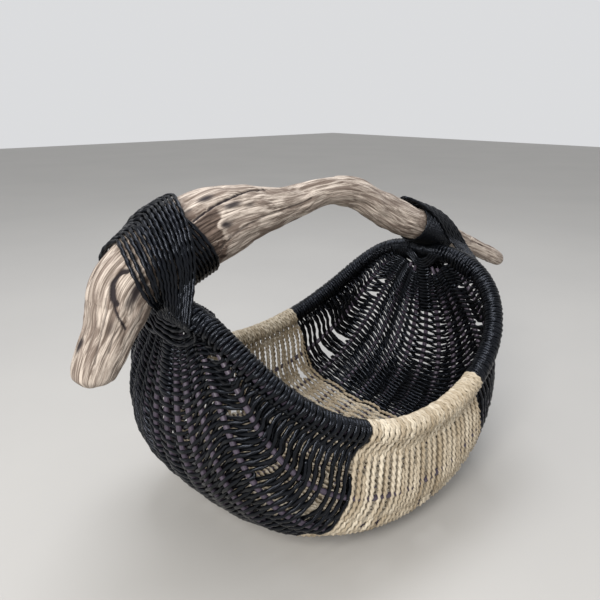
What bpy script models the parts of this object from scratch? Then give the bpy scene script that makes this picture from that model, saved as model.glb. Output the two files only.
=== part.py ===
"""Driftwood basket: a ribbed basket whose driftwood handle is lashed across its rim hoop.

Lengths are in metres. +Z is up, and the origin is the centre of the flat patch that the
belly rests on. +X runs along the handle towards its thin end, and -Y is the fuller side.
The belly is a surface of two numbers. The turn runs from 0 at the left junction, where the
thick end of the handle is lashed, to pi at the right junction. The side runs from -1 at the
near rim through 0 at the keel to 1 at the far rim.
"""
import math

import bpy
import numpy as np

# The basket's size
HALF_LENGTH = 0.200
NEAR_HALF_WIDTH = 0.1705
FAR_HALF_WIDTH = 0.1614
SECTION_CENTRE_HEIGHT = 0.092
LEFT_JUNCTION_HEIGHT = 0.2735
RIGHT_JUNCTION_HEIGHT = 0.2640
FLAT_DEPTH = 0.004

# The basket's shape, without a unit
SECTION_SWEEP = math.radians(111.6)
WIDTH_POWER = 0.70
HEIGHT_POWER = 0.56
KEEL_SPREAD_POWER = 0.99
RIM_SPREAD_POWER = 0.476
KEEL_DROP_POWER = 1.40
RIM_DROP_POWER = 1.451
KEEL_BULGE_SHARE = 0.96
RIM_BULGE_SHARE = 0.132

# Cane, weave and cord
CLEARANCE = 0.0003
ROD_RADIUS = 0.0070
RIB_RADIUS = 0.0030
RIB_TIP_RADIUS = 0.0020
WALL_THICKNESS = 0.0040
WRAP_THICKNESS = 0.0040
WRAP_END_SHARE = 0.45
WRAP_TAPER_TURN = 0.12
WALL_EDGE_GAP = 0.0020
WINDOW_WIDTH_SHARE = 0.42
WINDOW_LENGTH_SHARE = 0.42
CORD_RADIUS = 0.0020
RIB_PLACE_SHARES = (0.0, 0.14, 0.28, 0.42, 0.57, 0.74)
RIB_START_TURN = 0.150
RIB_START_SPREAD = 0.045
WEAVE_START_TURN = 0.235
TAN_START_TURN = math.radians(66.5)
BLACK_STEPS = 8
TAN_STEPS = 6
ROD_SIDES = 8
RIB_SIDES = 6
ROLL_SIDES = 11
HOOP_END_STEPS = 7

# The driftwood
HANDLE_SPAN = 0.655
HANDLE_RISE = 0.090
HANDLE_THICKNESS = 0.0740
HANDLE_SWERVE = 0.015
HANDLE_SIDES = 18
HANDLE_STATIONS = 46
HANDLE_END_PLACES = (0.0, 0.0010, 0.0030, 0.0070, 0.0120)
HANDLE_DEPTH_SHARE = 0.95
HANDLE_PATH_SHARES = (
    # along the span, above the left junction as a share of the rise, thickness, swerve
    (-0.4295, -0.672, 0.09, 0.00),
    (-0.4293, -0.636, 0.28, 0.00),
    (-0.4284, -0.607, 0.42, 0.00),
    (-0.4263, -0.545, 0.535, 0.00),
    (-0.4170, -0.394, 0.602, 0.00),
    (-0.3975, -0.165, 0.666, 0.00),
    (-0.3832, 0.061, 0.788, 0.00),
    (-0.3670, 0.290, 0.865, 0.00),
    (-0.3176, 0.500, 0.985, 0.00),
    (-0.2554, 0.691, 1.000, 0.00),
    (-0.2131, 0.773, 0.956, 0.00),
    (-0.1671, 0.818, 0.834, 0.00),
    (-0.1280, 0.827, 0.692, 0.00),
    (-0.0665, 0.871, 0.535, 0.00),
    (-0.0124, 0.935, 0.434, 0.00),
    (0.0262, 0.955, 0.436, 0.00),
    (0.0583, 0.935, 0.468, 0.00),
    (0.0991, 0.845, 0.500, 0.00),
    (0.1487, 0.666, 0.532, 0.00),
    (0.1912, 0.516, 0.569, 0.00),
    (0.2441, 0.364, 0.585, 0.00),
    (0.3119, 0.203, 0.561, 0.00),
    (0.3738, -0.003, 0.476, -0.27),
    (0.4416, -0.188, 0.364, -0.60),
    (0.5106, -0.406, 0.342, -0.86),
    (0.5405, -0.502, 0.282, -0.96),
    (0.5518, -0.526, 0.159, -1.00),
    (0.5584, -0.534, 0.058, -1.00),
)

# The lashings, by the distance along X of their first cord from the junction they hold
LEFT_FAN_CYCLES = 4
LEFT_FAN_OFFSET = -0.0235
LEFT_WRAP_TURNS = 3
LEFT_WRAP_GAP = 0.0062
RIGHT_STRAP_CYCLES = 3
RIGHT_STRAP_OFFSET = -0.0520
RIGHT_WRAP_TURNS = 5
RIGHT_WRAP_OFFSET = 0.0225
FAN_SPACING = 0.0066
STRAP_SPACING = 0.0070
WRAP_SPACING = 0.0060
FAN_FIRST_WIDTH = 0.0300
STRAP_FIRST_WIDTH = 0.0440
FAN_ROD_STEP = 0.0084
STRAP_ROD_STEP = 0.0100
ARC_STEP = math.radians(30.0)
ROD_ARC_STEP = math.radians(45.0)
WRAP_LOOP_POINTS = 24
ARM_POINTS = 4

# How finely curves are sampled where a place on them is looked for
SMALL = 1e-4
FINE_STEPS = 400
CURVE_STEPS = 24
SEATING_ROUNDS = 40
TURN_WINDOW = 0.5
SHARP_ANGLE = math.radians(50.0)

COLOURS = {
    "black_cord": (0.020, 0.023, 0.030, 1.0),
    "natural_seagrass": (0.62, 0.53, 0.38, 1.0),
    "dyed_cane": (0.085, 0.075, 0.095, 1.0),
    "driftwood": (0.50, 0.43, 0.36, 1.0),
}
ROUGHNESS = {"black_cord": 0.62, "natural_seagrass": 0.75, "dyed_cane": 0.55, "driftwood": 0.85}


def clear_scene():
    for item in list(bpy.data.objects):
        bpy.data.objects.remove(item, do_unlink=True)


def make_material(name):
    material = bpy.data.materials.get(name) or bpy.data.materials.new(name)
    material.use_nodes = True
    shader = material.node_tree.nodes["Principled BSDF"]
    shader.inputs["Base Color"].default_value = COLOURS[name]
    shader.inputs["Roughness"].default_value = ROUGHNESS[name]
    shader.inputs["Metallic"].default_value = 0.0
    return material


def unit(vectors):
    return vectors / np.linalg.norm(vectors, axis=-1, keepdims=True)


def signed_power(value, power):
    return np.sign(value) * np.abs(value) ** power


def belly(turn, side):
    """Point of the basket's outer surface at a turn and a side, both numbers or arrays."""
    turn, side = np.broadcast_arrays(np.asarray(turn, float), np.asarray(side, float))
    angle = np.abs(side) * SECTION_SWEEP
    half_width = np.where(side < 0, NEAR_HALF_WIDTH, FAR_HALF_WIDTH)
    section_y = np.sign(side) * half_width * np.abs(np.sin(angle)) ** WIDTH_POWER
    section_z = SECTION_CENTRE_HEIGHT * (1 - signed_power(np.cos(angle), HEIGHT_POWER))
    rim_share = side ** 2
    reach = np.sin(turn)
    spread = reach ** (KEEL_SPREAD_POWER * (1 - rim_share) + RIM_SPREAD_POWER * rim_share)
    drop = reach ** (KEEL_DROP_POWER * (1 - rim_share) + RIM_DROP_POWER * rim_share)
    bulge = KEEL_BULGE_SHARE * (1 - rim_share) + RIM_BULGE_SHARE * rim_share
    mean_height = (LEFT_JUNCTION_HEIGHT + RIGHT_JUNCTION_HEIGHT) / 2
    tilt = (LEFT_JUNCTION_HEIGHT - RIGHT_JUNCTION_HEIGHT) / 2
    junction = mean_height + tilt * np.cos(turn)
    x = -HALF_LENGTH * np.cos(turn) * (1 + bulge * reach ** 2)
    z = junction * (1 - drop) + section_z * drop - FLAT_DEPTH
    return np.stack([x, section_y * spread, np.maximum(z, 0)], axis=-1)


def belly_normal(turn, side):
    """Direction out of the belly, from small steps along the turn and the side."""
    along = belly(turn + SMALL, side) - belly(turn - SMALL, side)
    across = belly(turn, side + SMALL) - belly(turn, side - SMALL)
    return unit(np.cross(across, along))


def side_at_share(share, hand):
    """Side at a share of the way, by length, from the keel to one rim at the middle section."""
    sides = np.linspace(0, 1, FINE_STEPS + 1) * hand
    points = belly(math.pi / 2, sides)
    lengths = np.concatenate([[0], np.cumsum(np.linalg.norm(np.diff(points, axis=0), axis=1))])
    return hand * float(np.interp(share * lengths[-1], lengths, np.abs(sides)))


def rim_turn_at_width(width, hand, end):
    """Turn at which the rim, on one side and near one end, is a given width from the middle."""
    half_width = NEAR_HALF_WIDTH if hand < 0 else FAR_HALF_WIDTH
    full = half_width * math.sin(SECTION_SWEEP) ** WIDTH_POWER
    turn = math.asin((width / full) ** (1 / RIM_SPREAD_POWER))
    return turn if end < 0 else math.pi - turn


def rim_direction(turn, hand):
    ahead = belly(turn + SMALL, hand) - belly(turn - SMALL, hand)
    return unit(ahead)


def zone_turns():
    """Stations of the three woven zones, with a clearance left where two zones meet."""
    sides = np.linspace(-1, 1, CURVE_STEPS + 1)
    speeds = np.linalg.norm(belly(TAN_START_TURN + SMALL, sides) - belly(TAN_START_TURN, sides), axis=-1)
    half_gap = CLEARANCE / 2 / (speeds.min() / SMALL)
    black = np.linspace(WEAVE_START_TURN, TAN_START_TURN, BLACK_STEPS + 1)
    tan = np.linspace(TAN_START_TURN, math.pi - TAN_START_TURN, TAN_STEPS + 1)
    stations = np.concatenate([black, tan[1:], math.pi - black[::-1][1:]])
    left = black.copy()
    left[-1] -= half_gap
    middle = tan.copy()
    middle[0] += half_gap
    middle[-1] -= half_gap
    return stations, {"left": left, "middle": middle, "right": math.pi - left[::-1]}


def new_object(name, vertices, faces, material):
    mesh = bpy.data.meshes.new(name)
    mesh.from_pydata([tuple(map(float, v)) for v in vertices], [], [tuple(map(int, f)) for f in faces])
    mesh.validate()
    mesh.update()
    if signed_volume(vertices, faces) < 0:
        mesh.flip_normals()
    mesh.shade_smooth()
    mesh.set_sharp_from_angle(angle=SHARP_ANGLE)
    mesh.materials.append(make_material(material))
    item = bpy.data.objects.new(name, mesh)
    bpy.context.scene.collection.objects.link(item)
    return item


def signed_volume(vertices, faces):
    points = np.asarray(vertices)
    total = 0.0
    for face in faces:
        for i in range(1, len(face) - 1):
            a, b, c = points[face[0]], points[face[i]], points[face[i + 1]]
            total += float(np.dot(a, np.cross(b, c)))
    return total / 6


def sweep(sections, quads, left_open=()):
    """Solid from a flat mesh of quads carried through stations: its edges sweep, its ends close.

    Nothing spans the edges in left_open, which whoever calls this closes with faces of its own.
    """
    count, width, _ = sections.shape
    edges = {(q[i], q[(i + 1) % 4]) for q in quads for i in range(4)}
    outline = [(a, b) for a, b in edges if (b, a) not in edges and (a, b) not in left_open]
    faces = []
    for step in range(count - 1):
        low, high = step * width, (step + 1) * width
        faces += [(low + a, low + b, high + b, high + a) for a, b in sorted(outline)]
    last = (count - 1) * width
    halves = [h for a, b, c, d in quads for h in ((a, b, c), (a, c, d))]
    faces += [tuple(reversed(h)) for h in halves]
    faces += [tuple(last + i for i in h) for h in halves]
    return sections.reshape(-1, 3), faces


def window_points(turns, sides):
    """Corners of a window in the wall, as outer points and inner points in the same order."""
    turn_margin = (1 - WINDOW_LENGTH_SHARE) / 2 * (turns[1] - turns[0])
    side_margin = (1 - WINDOW_WIDTH_SHARE) / 2 * (sides[1] - sides[0])
    first, last = turns[0] + turn_margin, turns[1] - turn_margin
    low, high = sides[0] + side_margin, sides[1] - side_margin
    outer = belly(np.array([first, first, last, last]), np.array([low, high, high, low]))
    normal = belly_normal(np.array([first, first, last, last]), np.array([low, high, high, low]))
    return np.concatenate([outer, outer - WALL_THICKNESS * normal])


def window_faces(outer, inner, first):
    """Faces of one piece of wall with a window in it: a frame on each side and the four edges."""
    faces = []
    for i in range(4):
        j = (i + 1) % 4
        faces.append((outer[i], outer[j], first + j, first + i))
        faces.append((inner[j], inner[i], first + 4 + i, first + 4 + j))
        faces.append((first + i, first + j, first + 4 + j, first + 4 + i))
    return faces


def tube(centres, first_axis, second_axis, radii, sides, closed=False):
    """Round bar through centres: a ring of points at each, joined, with its ends closed."""
    angles = np.arange(sides) * 2 * math.pi / sides
    ring = np.cos(angles)[None, :, None] * first_axis[:, None, :]
    ring = ring + np.sin(angles)[None, :, None] * second_axis[:, None, :]
    rings = centres[:, None, :] + ring * np.asarray(radii)[:, None, None]
    count = len(centres)
    faces = []
    for step in range(count if closed else count - 1):
        low, high = step * sides, (step + 1) % count * sides
        faces += [(low + i, low + (i + 1) % sides, high + (i + 1) % sides, high + i) for i in range(sides)]
    if not closed:
        faces.append(tuple(reversed(range(sides))))
        faces.append(tuple((count - 1) * sides + i for i in range(sides)))
    return rings.reshape(-1, 3), faces


def bent_axes(centres, reference, closed=False):
    """Two axes across a path at each point, the first as near the reference as it can be."""
    if closed:
        ahead = unit(np.roll(centres, -1, axis=0) - np.roll(centres, 1, axis=0))
    else:
        ahead = unit(np.gradient(centres, axis=0))
    across = unit(reference - np.sum(reference * ahead, axis=-1, keepdims=True) * ahead)
    return across, np.cross(ahead, across), ahead


def make_rim_hoop(stations):
    """One cane rod bent to a saddle-shaped ring through both rims and both junctions."""
    full = NEAR_HALF_WIDTH * math.sin(SECTION_SWEEP) ** WIDTH_POWER
    reach = full * math.sin(stations[0]) ** RIM_SPREAD_POWER
    widths = np.arange(1, HOOP_END_STEPS) * reach / HOOP_END_STEPS
    ends = np.array([rim_turn_at_width(w, -1, -1) for w in widths])
    turns = np.concatenate([ends, stations, math.pi - ends[::-1]])
    near = belly(turns, -1)
    far = belly(turns[::-1], 1)
    left = belly(0, -1)[None]
    right = belly(math.pi, -1)[None]
    centres = np.concatenate([left, near, right, far])
    up, across, _ = bent_axes(centres, np.array([0.0, 0.0, 1.0]), closed=True)
    vertices, faces = tube(centres, up, across, np.full(len(centres), ROD_RADIUS), ROD_SIDES, closed=True)
    return new_object("rim_hoop", vertices, faces, "dyed_cane")


def rib_sides():
    near = [side_at_share(share, -1) for share in reversed(RIB_PLACE_SHARES[1:])]
    far = [side_at_share(share, 1) for share in RIB_PLACE_SHARES[1:]]
    return near + [0.0] + far


def make_rib(name, side, stations):
    """One cane rib from junction to junction, just inside the woven wall and thinned at its ends."""
    start = RIB_START_TURN + RIB_START_SPREAD * abs(side)
    inner = stations[(stations > start + SMALL) & (stations < math.pi - start - SMALL)]
    lead = (start + inner[0]) / 2
    turns = np.concatenate([[start, lead], inner, [math.pi - lead, math.pi - start]])
    depth = WALL_THICKNESS + CLEARANCE + RIB_RADIUS
    normal = belly_normal(turns, side)
    centres = belly(turns, side) - depth * normal
    out, across, _ = bent_axes(centres, normal)
    radii = np.full(len(turns), RIB_RADIUS)
    radii[[0, -1]] = RIB_TIP_RADIUS
    radii[[1, -2]] = (RIB_TIP_RADIUS + RIB_RADIUS) / 2
    vertices, faces = tube(centres, out, across, radii, RIB_SIDES)
    return new_object(name, vertices, faces, "dyed_cane")


def wall_edge_side(turn, hand, roll_radius):
    """Side at which the wall stands just outside the turns round the rim rod."""
    sides = np.linspace(1, 0, FINE_STEPS) * hand
    points = belly(turn, sides)
    rim_turns = np.linspace(max(turn - TURN_WINDOW, 0), min(turn + TURN_WINDOW, math.pi), FINE_STEPS)
    rim = belly(rim_turns, hand)
    distance = np.linalg.norm(points[:, None, :] - rim[None, :, :], axis=-1).min(axis=1)
    clear = np.nonzero(distance > roll_radius + WALL_EDGE_GAP)[0][0]
    return float(sides[clear])


def roll_radius_at(turn):
    """Outer radius of the cord turns round the rim rod, less towards the two junctions."""
    place = min(turn, math.pi - turn) - WEAVE_START_TURN
    share = WRAP_END_SHARE + (1 - WRAP_END_SHARE) * min(place / WRAP_TAPER_TURN, 1)
    return ROD_RADIUS + CLEARANCE + WRAP_THICKNESS * share


def roll_rings(turn, hand, wall_edge):
    """Rings round the rim rod at one turn: the outside of the cord turns and their bore."""
    roll = roll_radius_at(turn)
    open_angle = 2 * math.asin(WALL_THICKNESS / 2 / roll)
    ring_angles = np.linspace(0, 2 * math.pi - open_angle, ROLL_SIDES)
    bore = (ROD_RADIUS + CLEARANCE) / math.cos(ring_angles[1] / 2)
    centre = belly(turn, hand)
    ahead = rim_direction(turn, hand)
    toward = wall_edge - centre
    toward = unit(toward - np.dot(toward, ahead) * ahead)
    out = np.cross(ahead, toward) * hand
    arm = np.cos(ring_angles)[:, None] * toward + np.sin(ring_angles)[:, None] * out
    return [centre + roll * arm, centre + bore * arm]


def weave_quads(columns):
    """Quads of one section: a ring round each rim rod, joined by the wall. Also where each starts."""
    near_roll, near_bore = 0, ROLL_SIDES
    outer_at, inner_at = 2 * ROLL_SIDES, 2 * ROLL_SIDES + columns
    far_roll = inner_at + columns
    far_bore = far_roll + ROLL_SIDES
    quads = []
    for i in range(ROLL_SIDES):
        j = (i + 1) % ROLL_SIDES
        quads.append((near_roll + j, near_roll + i, near_bore + i, near_bore + j))
        quads.append((far_roll + i, far_roll + j, far_bore + j, far_bore + i))
    for i in range(columns - 1):
        quads.append((outer_at + i, outer_at + i + 1, inner_at + i + 1, inner_at + i))
    last = ROLL_SIDES - 1
    quads.append((near_roll, outer_at, inner_at, near_roll + last))
    quads.append((outer_at + columns - 1, far_roll, far_roll + last, inner_at + columns - 1))
    return quads, outer_at, inner_at


def make_weave(name, turns, ribs, material):
    """One colour of weave: a thin wall outside the ribs that rolls round the rod at each rim.

    The wall has a window between every two ribs at every step, because the real weave is open.
    """
    sections, station_sides = [], []
    for turn in turns:
        edges = [wall_edge_side(turn, hand, roll_radius_at(turn)) for hand in (-1, 1)]
        sides = np.array([edges[0], *ribs, edges[1]])
        outer = belly(turn, sides)
        inner = outer - WALL_THICKNESS * belly_normal(turn, sides)
        near_rings = roll_rings(turn, -1, outer[0])
        far_rings = roll_rings(turn, 1, outer[-1])
        sections.append(np.concatenate([*near_rings, outer, inner, *far_rings]))
        station_sides.append(sides)
    columns = len(station_sides[0])
    quads, outer_at, inner_at = weave_quads(columns)
    wall_edges = [(start + i, start + i + 1) for start in (outer_at, inner_at) for i in range(columns - 1)]
    wall_edges += [(b, a) for a, b in wall_edges]
    vertices, faces = sweep(np.array(sections), quads, wall_edges)
    windows = []
    width = len(sections[0])
    for step in range(len(turns) - 1):
        low, high = step * width, (step + 1) * width
        for i in range(columns - 1):
            corners = (low + i, low + i + 1, high + i + 1, high + i)
            sides = (station_sides[step][i:i + 2] + station_sides[step + 1][i:i + 2]) / 2
            first = len(vertices) + 8 * len(windows)
            windows.append(window_points(turns[step:step + 2], sides))
            faces += window_faces([outer_at + c for c in corners], [inner_at + c for c in corners], first)
    return new_object(name, np.concatenate([vertices, *windows]), faces, material)


def smooth_path(rows, count, end_places=(0.0,)):
    """Rows on a smooth curve through the given rows (Catmull-Rom): evenly spaced, closer at the ends."""
    rows = np.asarray(rows, float)
    padded = np.concatenate([2 * rows[:1] - rows[1:2], rows, 2 * rows[-1:] - rows[-2:-1]])
    pieces = []
    steps = np.linspace(0, 1, CURVE_STEPS, endpoint=False)[:, None]
    for i in range(len(rows) - 1):
        a, b, c, d = padded[i:i + 4]
        pieces.append(0.5 * (2 * b + (c - a) * steps + (2 * a - 5 * b + 4 * c - d) * steps ** 2
                             + (3 * b - a - 3 * c + d) * steps ** 3))
    dense = np.concatenate(pieces + [rows[-1:]])
    lengths = np.concatenate([[0], np.cumsum(np.linalg.norm(np.diff(dense[:, :3], axis=0), axis=1))])
    ends = np.array(end_places)
    even = np.linspace(ends[-1], lengths[-1] - ends[-1], count)
    places = np.concatenate([ends[:-1], even, lengths[-1] - ends[:-1][::-1]])
    return np.stack([np.interp(places, lengths, dense[:, i]) for i in range(rows.shape[1])], axis=-1)


def handle_rows():
    """Rows of x, y, z and radius along the driftwood, lowered and tilted on to both junctions."""
    shares = np.array(HANDLE_PATH_SHARES)
    rows = np.stack([
        shares[:, 0] * HANDLE_SPAN,
        shares[:, 3] * HANDLE_SWERVE,
        LEFT_JUNCTION_HEIGHT - FLAT_DEPTH + shares[:, 1] * HANDLE_RISE,
        shares[:, 2] * HANDLE_THICKNESS / 2,
    ], axis=-1)
    seats = [belly(0, -1), belly(math.pi, -1)]
    for _ in range(SEATING_ROUNDS):
        dense = smooth_path(rows, 2 * FINE_STEPS)
        gaps = []
        for seat in seats:
            away = np.linalg.norm(dense[:, [0, 2]] - seat[[0, 2]], axis=1) - dense[:, 3]
            gaps.append(away.min() - ROD_RADIUS - CLEARANCE)
        share = (rows[:, 0] - seats[0][0]) / (seats[1][0] - seats[0][0])
        rows[:, 2] -= gaps[0] * (1 - share) + gaps[1] * share
    return rows


class Handle:
    """The driftwood's path, for its own solid and for the cords that go round it."""

    def __init__(self):
        self.rows = handle_rows()
        self.dense = smooth_path(self.rows, 2 * FINE_STEPS)
        steps = np.linalg.norm(np.diff(self.dense[:, :3], axis=0), axis=1)
        self.lengths = np.concatenate([[0], np.cumsum(steps)])

    def length_at_x(self, x):
        return float(np.interp(x, self.dense[:, 0], self.lengths))

    def frame(self, length):
        row = np.array([np.interp(length, self.lengths, self.dense[:, i]) for i in range(4)])
        step = self.lengths[-1] / len(self.lengths)
        ahead = np.array([np.interp(length + step, self.lengths, self.dense[:, i])
                          - np.interp(length - step, self.lengths, self.dense[:, i]) for i in range(3)])
        ahead = unit(ahead)
        side = np.array([0.0, 1.0, 0.0])
        side = unit(side - np.dot(side, ahead) * ahead)
        return row[:3], row[3], np.cross(ahead, side), side

    def around(self, length, angle, stand_off):
        """Point round the wood: the angle is 0 on top and grows towards +Y."""
        centre, radius, up, side = self.frame(length)
        reach = radius + stand_off
        return centre + reach * (math.cos(angle) * up + math.sin(angle) * side)

    def push_out(self, point, stand_off):
        away = point - self.dense[:, :3]
        distance = np.linalg.norm(away, axis=1)
        i = int(np.argmin(distance - self.dense[:, 3]))
        wanted = self.dense[i, 3] + stand_off
        if distance[i] >= wanted:
            return point
        return self.dense[i, :3] + away[i] / distance[i] * wanted


def make_handle(handle):
    rows = smooth_path(handle.rows, HANDLE_STATIONS, HANDLE_END_PLACES)
    side = np.array([0.0, 1.0, 0.0])
    across, up, _ = bent_axes(rows[:, :3], side)
    vertices, faces = tube(rows[:, :3], -up, across * HANDLE_DEPTH_SHARE, rows[:, 3], HANDLE_SIDES)
    return new_object("driftwood_handle", vertices, faces, "driftwood")


def rod_half_turn(width, hand, end, stand_off, outer_first):
    """Points of a cord as it passes under the rim rod, square to it, near a junction."""
    turn = rim_turn_at_width(width, hand, end)
    centre = belly(turn, hand)
    ahead = rim_direction(turn, hand)
    out = np.array([float(end), 0.0, 0.0])
    out = unit(out - np.dot(out, ahead) * ahead)
    down = np.array([0.0, 0.0, -1.0])
    down = unit(down - np.dot(down, ahead) * ahead - np.dot(down, out) * out)
    reach = (ROD_RADIUS + stand_off) / math.cos(ROD_ARC_STEP / 2)
    first = 0 if end < 0 else -ROD_ARC_STEP
    angles = np.arange(first, math.pi + SMALL, ROD_ARC_STEP)
    points = [centre + reach * (math.cos(a) * out + math.sin(a) * down) for a in angles]
    return points if outer_first else points[::-1]


def arm(handle, length, hand, foot):
    """Points of a cord from the top of the wood down one side to its foot beside the rod."""
    stand_off = CORD_RADIUS + CLEARANCE
    _, radius, _, _ = handle.frame(length)
    slack = (radius + stand_off) * (1 / math.cos(ARC_STEP / 2) - 1)
    angles = np.arange(0, math.pi / 2 + SMALL, ARC_STEP)
    points = [handle.around(length, hand * a, stand_off + slack) for a in angles]
    leave = points[-1]
    for i in range(1, ARM_POINTS + 1):
        share = i / (ARM_POINTS + 1)
        points.append(handle.push_out(leave * (1 - share) + foot * share, stand_off + slack))
    return points


def lashing_path(handle, end, cycles, first_length, spacing, first_width, rod_step):
    """Path of a lashing that goes over the wood and under the near rod, then the far rod."""
    stand_off = CORD_RADIUS + CLEARANCE
    tops = [first_length + spacing * i for i in range(2 * cycles)]
    outer, inner = (tops[:cycles], tops[cycles:]) if end < 0 else (tops[cycles:], tops[:cycles])
    points = []
    for i in range(cycles):
        width = first_width + rod_step * (i if end < 0 else cycles - 1 - i)
        near_turns = rod_half_turn(width, -1, end, stand_off, outer_first=True)
        far_turns = rod_half_turn(width, 1, end, stand_off, outer_first=False)
        points += arm(handle, outer[i], -1, near_turns[0])[1 if points else 0:] + near_turns
        points += arm(handle, inner[i], -1, near_turns[-1])[::-1]
        points += arm(handle, inner[i], 1, far_turns[0])[1:] + far_turns
        if i + 1 < cycles:
            points += arm(handle, outer[i + 1], 1, far_turns[-1])[::-1]
    return points


def wrap_path(handle, first_length, turns):
    """Path of a cord wound round the wood alone, turn beside turn."""
    stand_off = CORD_RADIUS + CLEARANCE
    step = 2 * math.pi / WRAP_LOOP_POINTS
    points = []
    for i in range(turns * WRAP_LOOP_POINTS + 1):
        length = first_length + WRAP_SPACING * i / WRAP_LOOP_POINTS
        _, radius, _, _ = handle.frame(length)
        slack = (radius + stand_off) * (1 / math.cos(step / 2) - 1)
        points.append(handle.around(length, math.pi + step * i, stand_off + slack))
    return points


def least_gap_to_itself(points):
    """Least gap between stretches of one cord that are more than six radii apart along it."""
    points = np.asarray(points)
    dense = []
    for a, b in zip(points[:-1], points[1:]):
        pieces = max(2, int(np.linalg.norm(b - a) / CORD_RADIUS * 2))
        dense.append(a + (b - a) * np.linspace(0, 1, pieces, endpoint=False)[:, None])
    dense = np.concatenate(dense)
    lengths = np.concatenate([[0], np.cumsum(np.linalg.norm(np.diff(dense, axis=0), axis=1))])
    least = np.inf
    for i in range(len(dense)):
        far = np.nonzero(np.abs(lengths - lengths[i]) > 6 * CORD_RADIUS)[0]
        least = min(least, float(np.linalg.norm(dense[far] - dense[i], axis=1).min()))
    return least - 2 * CORD_RADIUS


def make_cord(name, points):
    """A wound cord as one unbroken tube with closed ends."""
    curve = bpy.data.curves.new(name, "CURVE")
    curve.dimensions = "3D"
    curve.bevel_depth = CORD_RADIUS
    curve.bevel_resolution = 1
    curve.use_fill_caps = True
    spline = curve.splines.new("POLY")
    spline.points.add(len(points) - 1)
    for point, place in zip(spline.points, points):
        point.co = (*map(float, place), 1.0)
    curve.materials.append(make_material("black_cord"))
    item = bpy.data.objects.new(name, curve)
    bpy.context.scene.collection.objects.link(item)
    print(name, "least gap to itself, mm:", round(least_gap_to_itself(points) * 1000, 2))
    return item


def make_lashings(handle):
    fan_start = handle.length_at_x(LEFT_FAN_OFFSET - HALF_LENGTH)
    fan = lashing_path(handle, -1, LEFT_FAN_CYCLES, fan_start, FAN_SPACING, FAN_FIRST_WIDTH, FAN_ROD_STEP)
    make_cord("left_fan_lashing", fan)
    wrap_start = fan_start + FAN_SPACING * (2 * LEFT_FAN_CYCLES - 1) + LEFT_WRAP_GAP
    make_cord("left_handle_wrap", wrap_path(handle, wrap_start, LEFT_WRAP_TURNS))
    strap_start = handle.length_at_x(HALF_LENGTH + RIGHT_STRAP_OFFSET)
    strap = lashing_path(handle, 1, RIGHT_STRAP_CYCLES, strap_start, STRAP_SPACING,
                         STRAP_FIRST_WIDTH, STRAP_ROD_STEP)
    make_cord("right_strap_lashing", strap)
    right_start = handle.length_at_x(HALF_LENGTH + RIGHT_WRAP_OFFSET)
    make_cord("right_handle_wrap", wrap_path(handle, right_start, RIGHT_WRAP_TURNS))


def main():
    clear_scene()
    stations, zones = zone_turns()
    make_rim_hoop(stations)
    sides = rib_sides()
    middle = len(sides) // 2
    for i, side in enumerate(sides):
        if i < middle:
            name = f"near_rib_{i + 1}"
        elif i == middle:
            name = "keel_rib"
        else:
            name = f"far_rib_{len(sides) - i}"
        make_rib(name, side, stations)
    make_weave("left_black_weave", zones["left"], sides, "black_cord")
    make_weave("natural_band_weave", zones["middle"], sides, "natural_seagrass")
    make_weave("right_black_weave", zones["right"], sides, "black_cord")
    handle = Handle()
    make_handle(handle)
    make_lashings(handle)


main()
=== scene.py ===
# %% [markdown]
# # A driftwood basket
# This is a ribbed basket. A cane rod, bent to a saddle-shaped hoop, is its rim. Eleven ribs fan
# from one lashing to the other, and a branch of driftwood is tied across the top as the handle.
# The CAD part holds the main forms. This script puts twisted cords, smooth canes and cracked wood
# in their place, with one path for every row that the weaver laid.
# The frame comes first, because every other step is measured from it.

# %% Load the frame
import math
import bpy
import numpy as np
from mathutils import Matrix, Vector


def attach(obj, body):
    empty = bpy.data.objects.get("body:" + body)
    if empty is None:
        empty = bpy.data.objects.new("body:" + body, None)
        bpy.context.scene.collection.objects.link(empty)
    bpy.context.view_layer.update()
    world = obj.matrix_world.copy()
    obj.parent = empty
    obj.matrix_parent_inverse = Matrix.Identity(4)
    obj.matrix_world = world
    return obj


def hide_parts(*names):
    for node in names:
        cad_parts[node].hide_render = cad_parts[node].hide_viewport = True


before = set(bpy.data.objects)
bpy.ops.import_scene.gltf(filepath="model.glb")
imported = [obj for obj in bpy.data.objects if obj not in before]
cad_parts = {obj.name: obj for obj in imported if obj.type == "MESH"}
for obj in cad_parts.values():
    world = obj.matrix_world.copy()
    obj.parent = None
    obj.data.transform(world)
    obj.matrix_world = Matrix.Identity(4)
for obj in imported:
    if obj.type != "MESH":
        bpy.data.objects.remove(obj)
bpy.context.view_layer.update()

print("CAD nodes:", len(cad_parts))

# %% [markdown]
# ## The camera and the room
# The photograph looks down a little, from the left end and the near side. The camera was placed
# by matching the two lashings, the lowest point and the widest points of the belly, so the model
# can be checked against the picture point by point. The room is a pale floor and soft light.

# %% Camera
CAMERA_PLACE = (-0.49993, -0.51948, 0.45443)
CAMERA_TURN = math.radians(-42.1145)
CAMERA_PITCH = math.radians(17.258)
LENS_MM = 39.0
SENSOR_MM = 36.0

camera = bpy.data.objects.new("camera", bpy.data.cameras.new("camera"))
camera.data.lens = LENS_MM
camera.data.sensor_width = SENSOR_MM
camera.location = CAMERA_PLACE
camera.rotation_euler = (math.pi / 2 - CAMERA_PITCH, 0.0, CAMERA_TURN)
bpy.context.scene.collection.objects.link(camera)
bpy.context.scene.camera = camera
bpy.context.scene.view_settings.view_transform = "Standard"
print("camera lens", LENS_MM, "mm")


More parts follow.
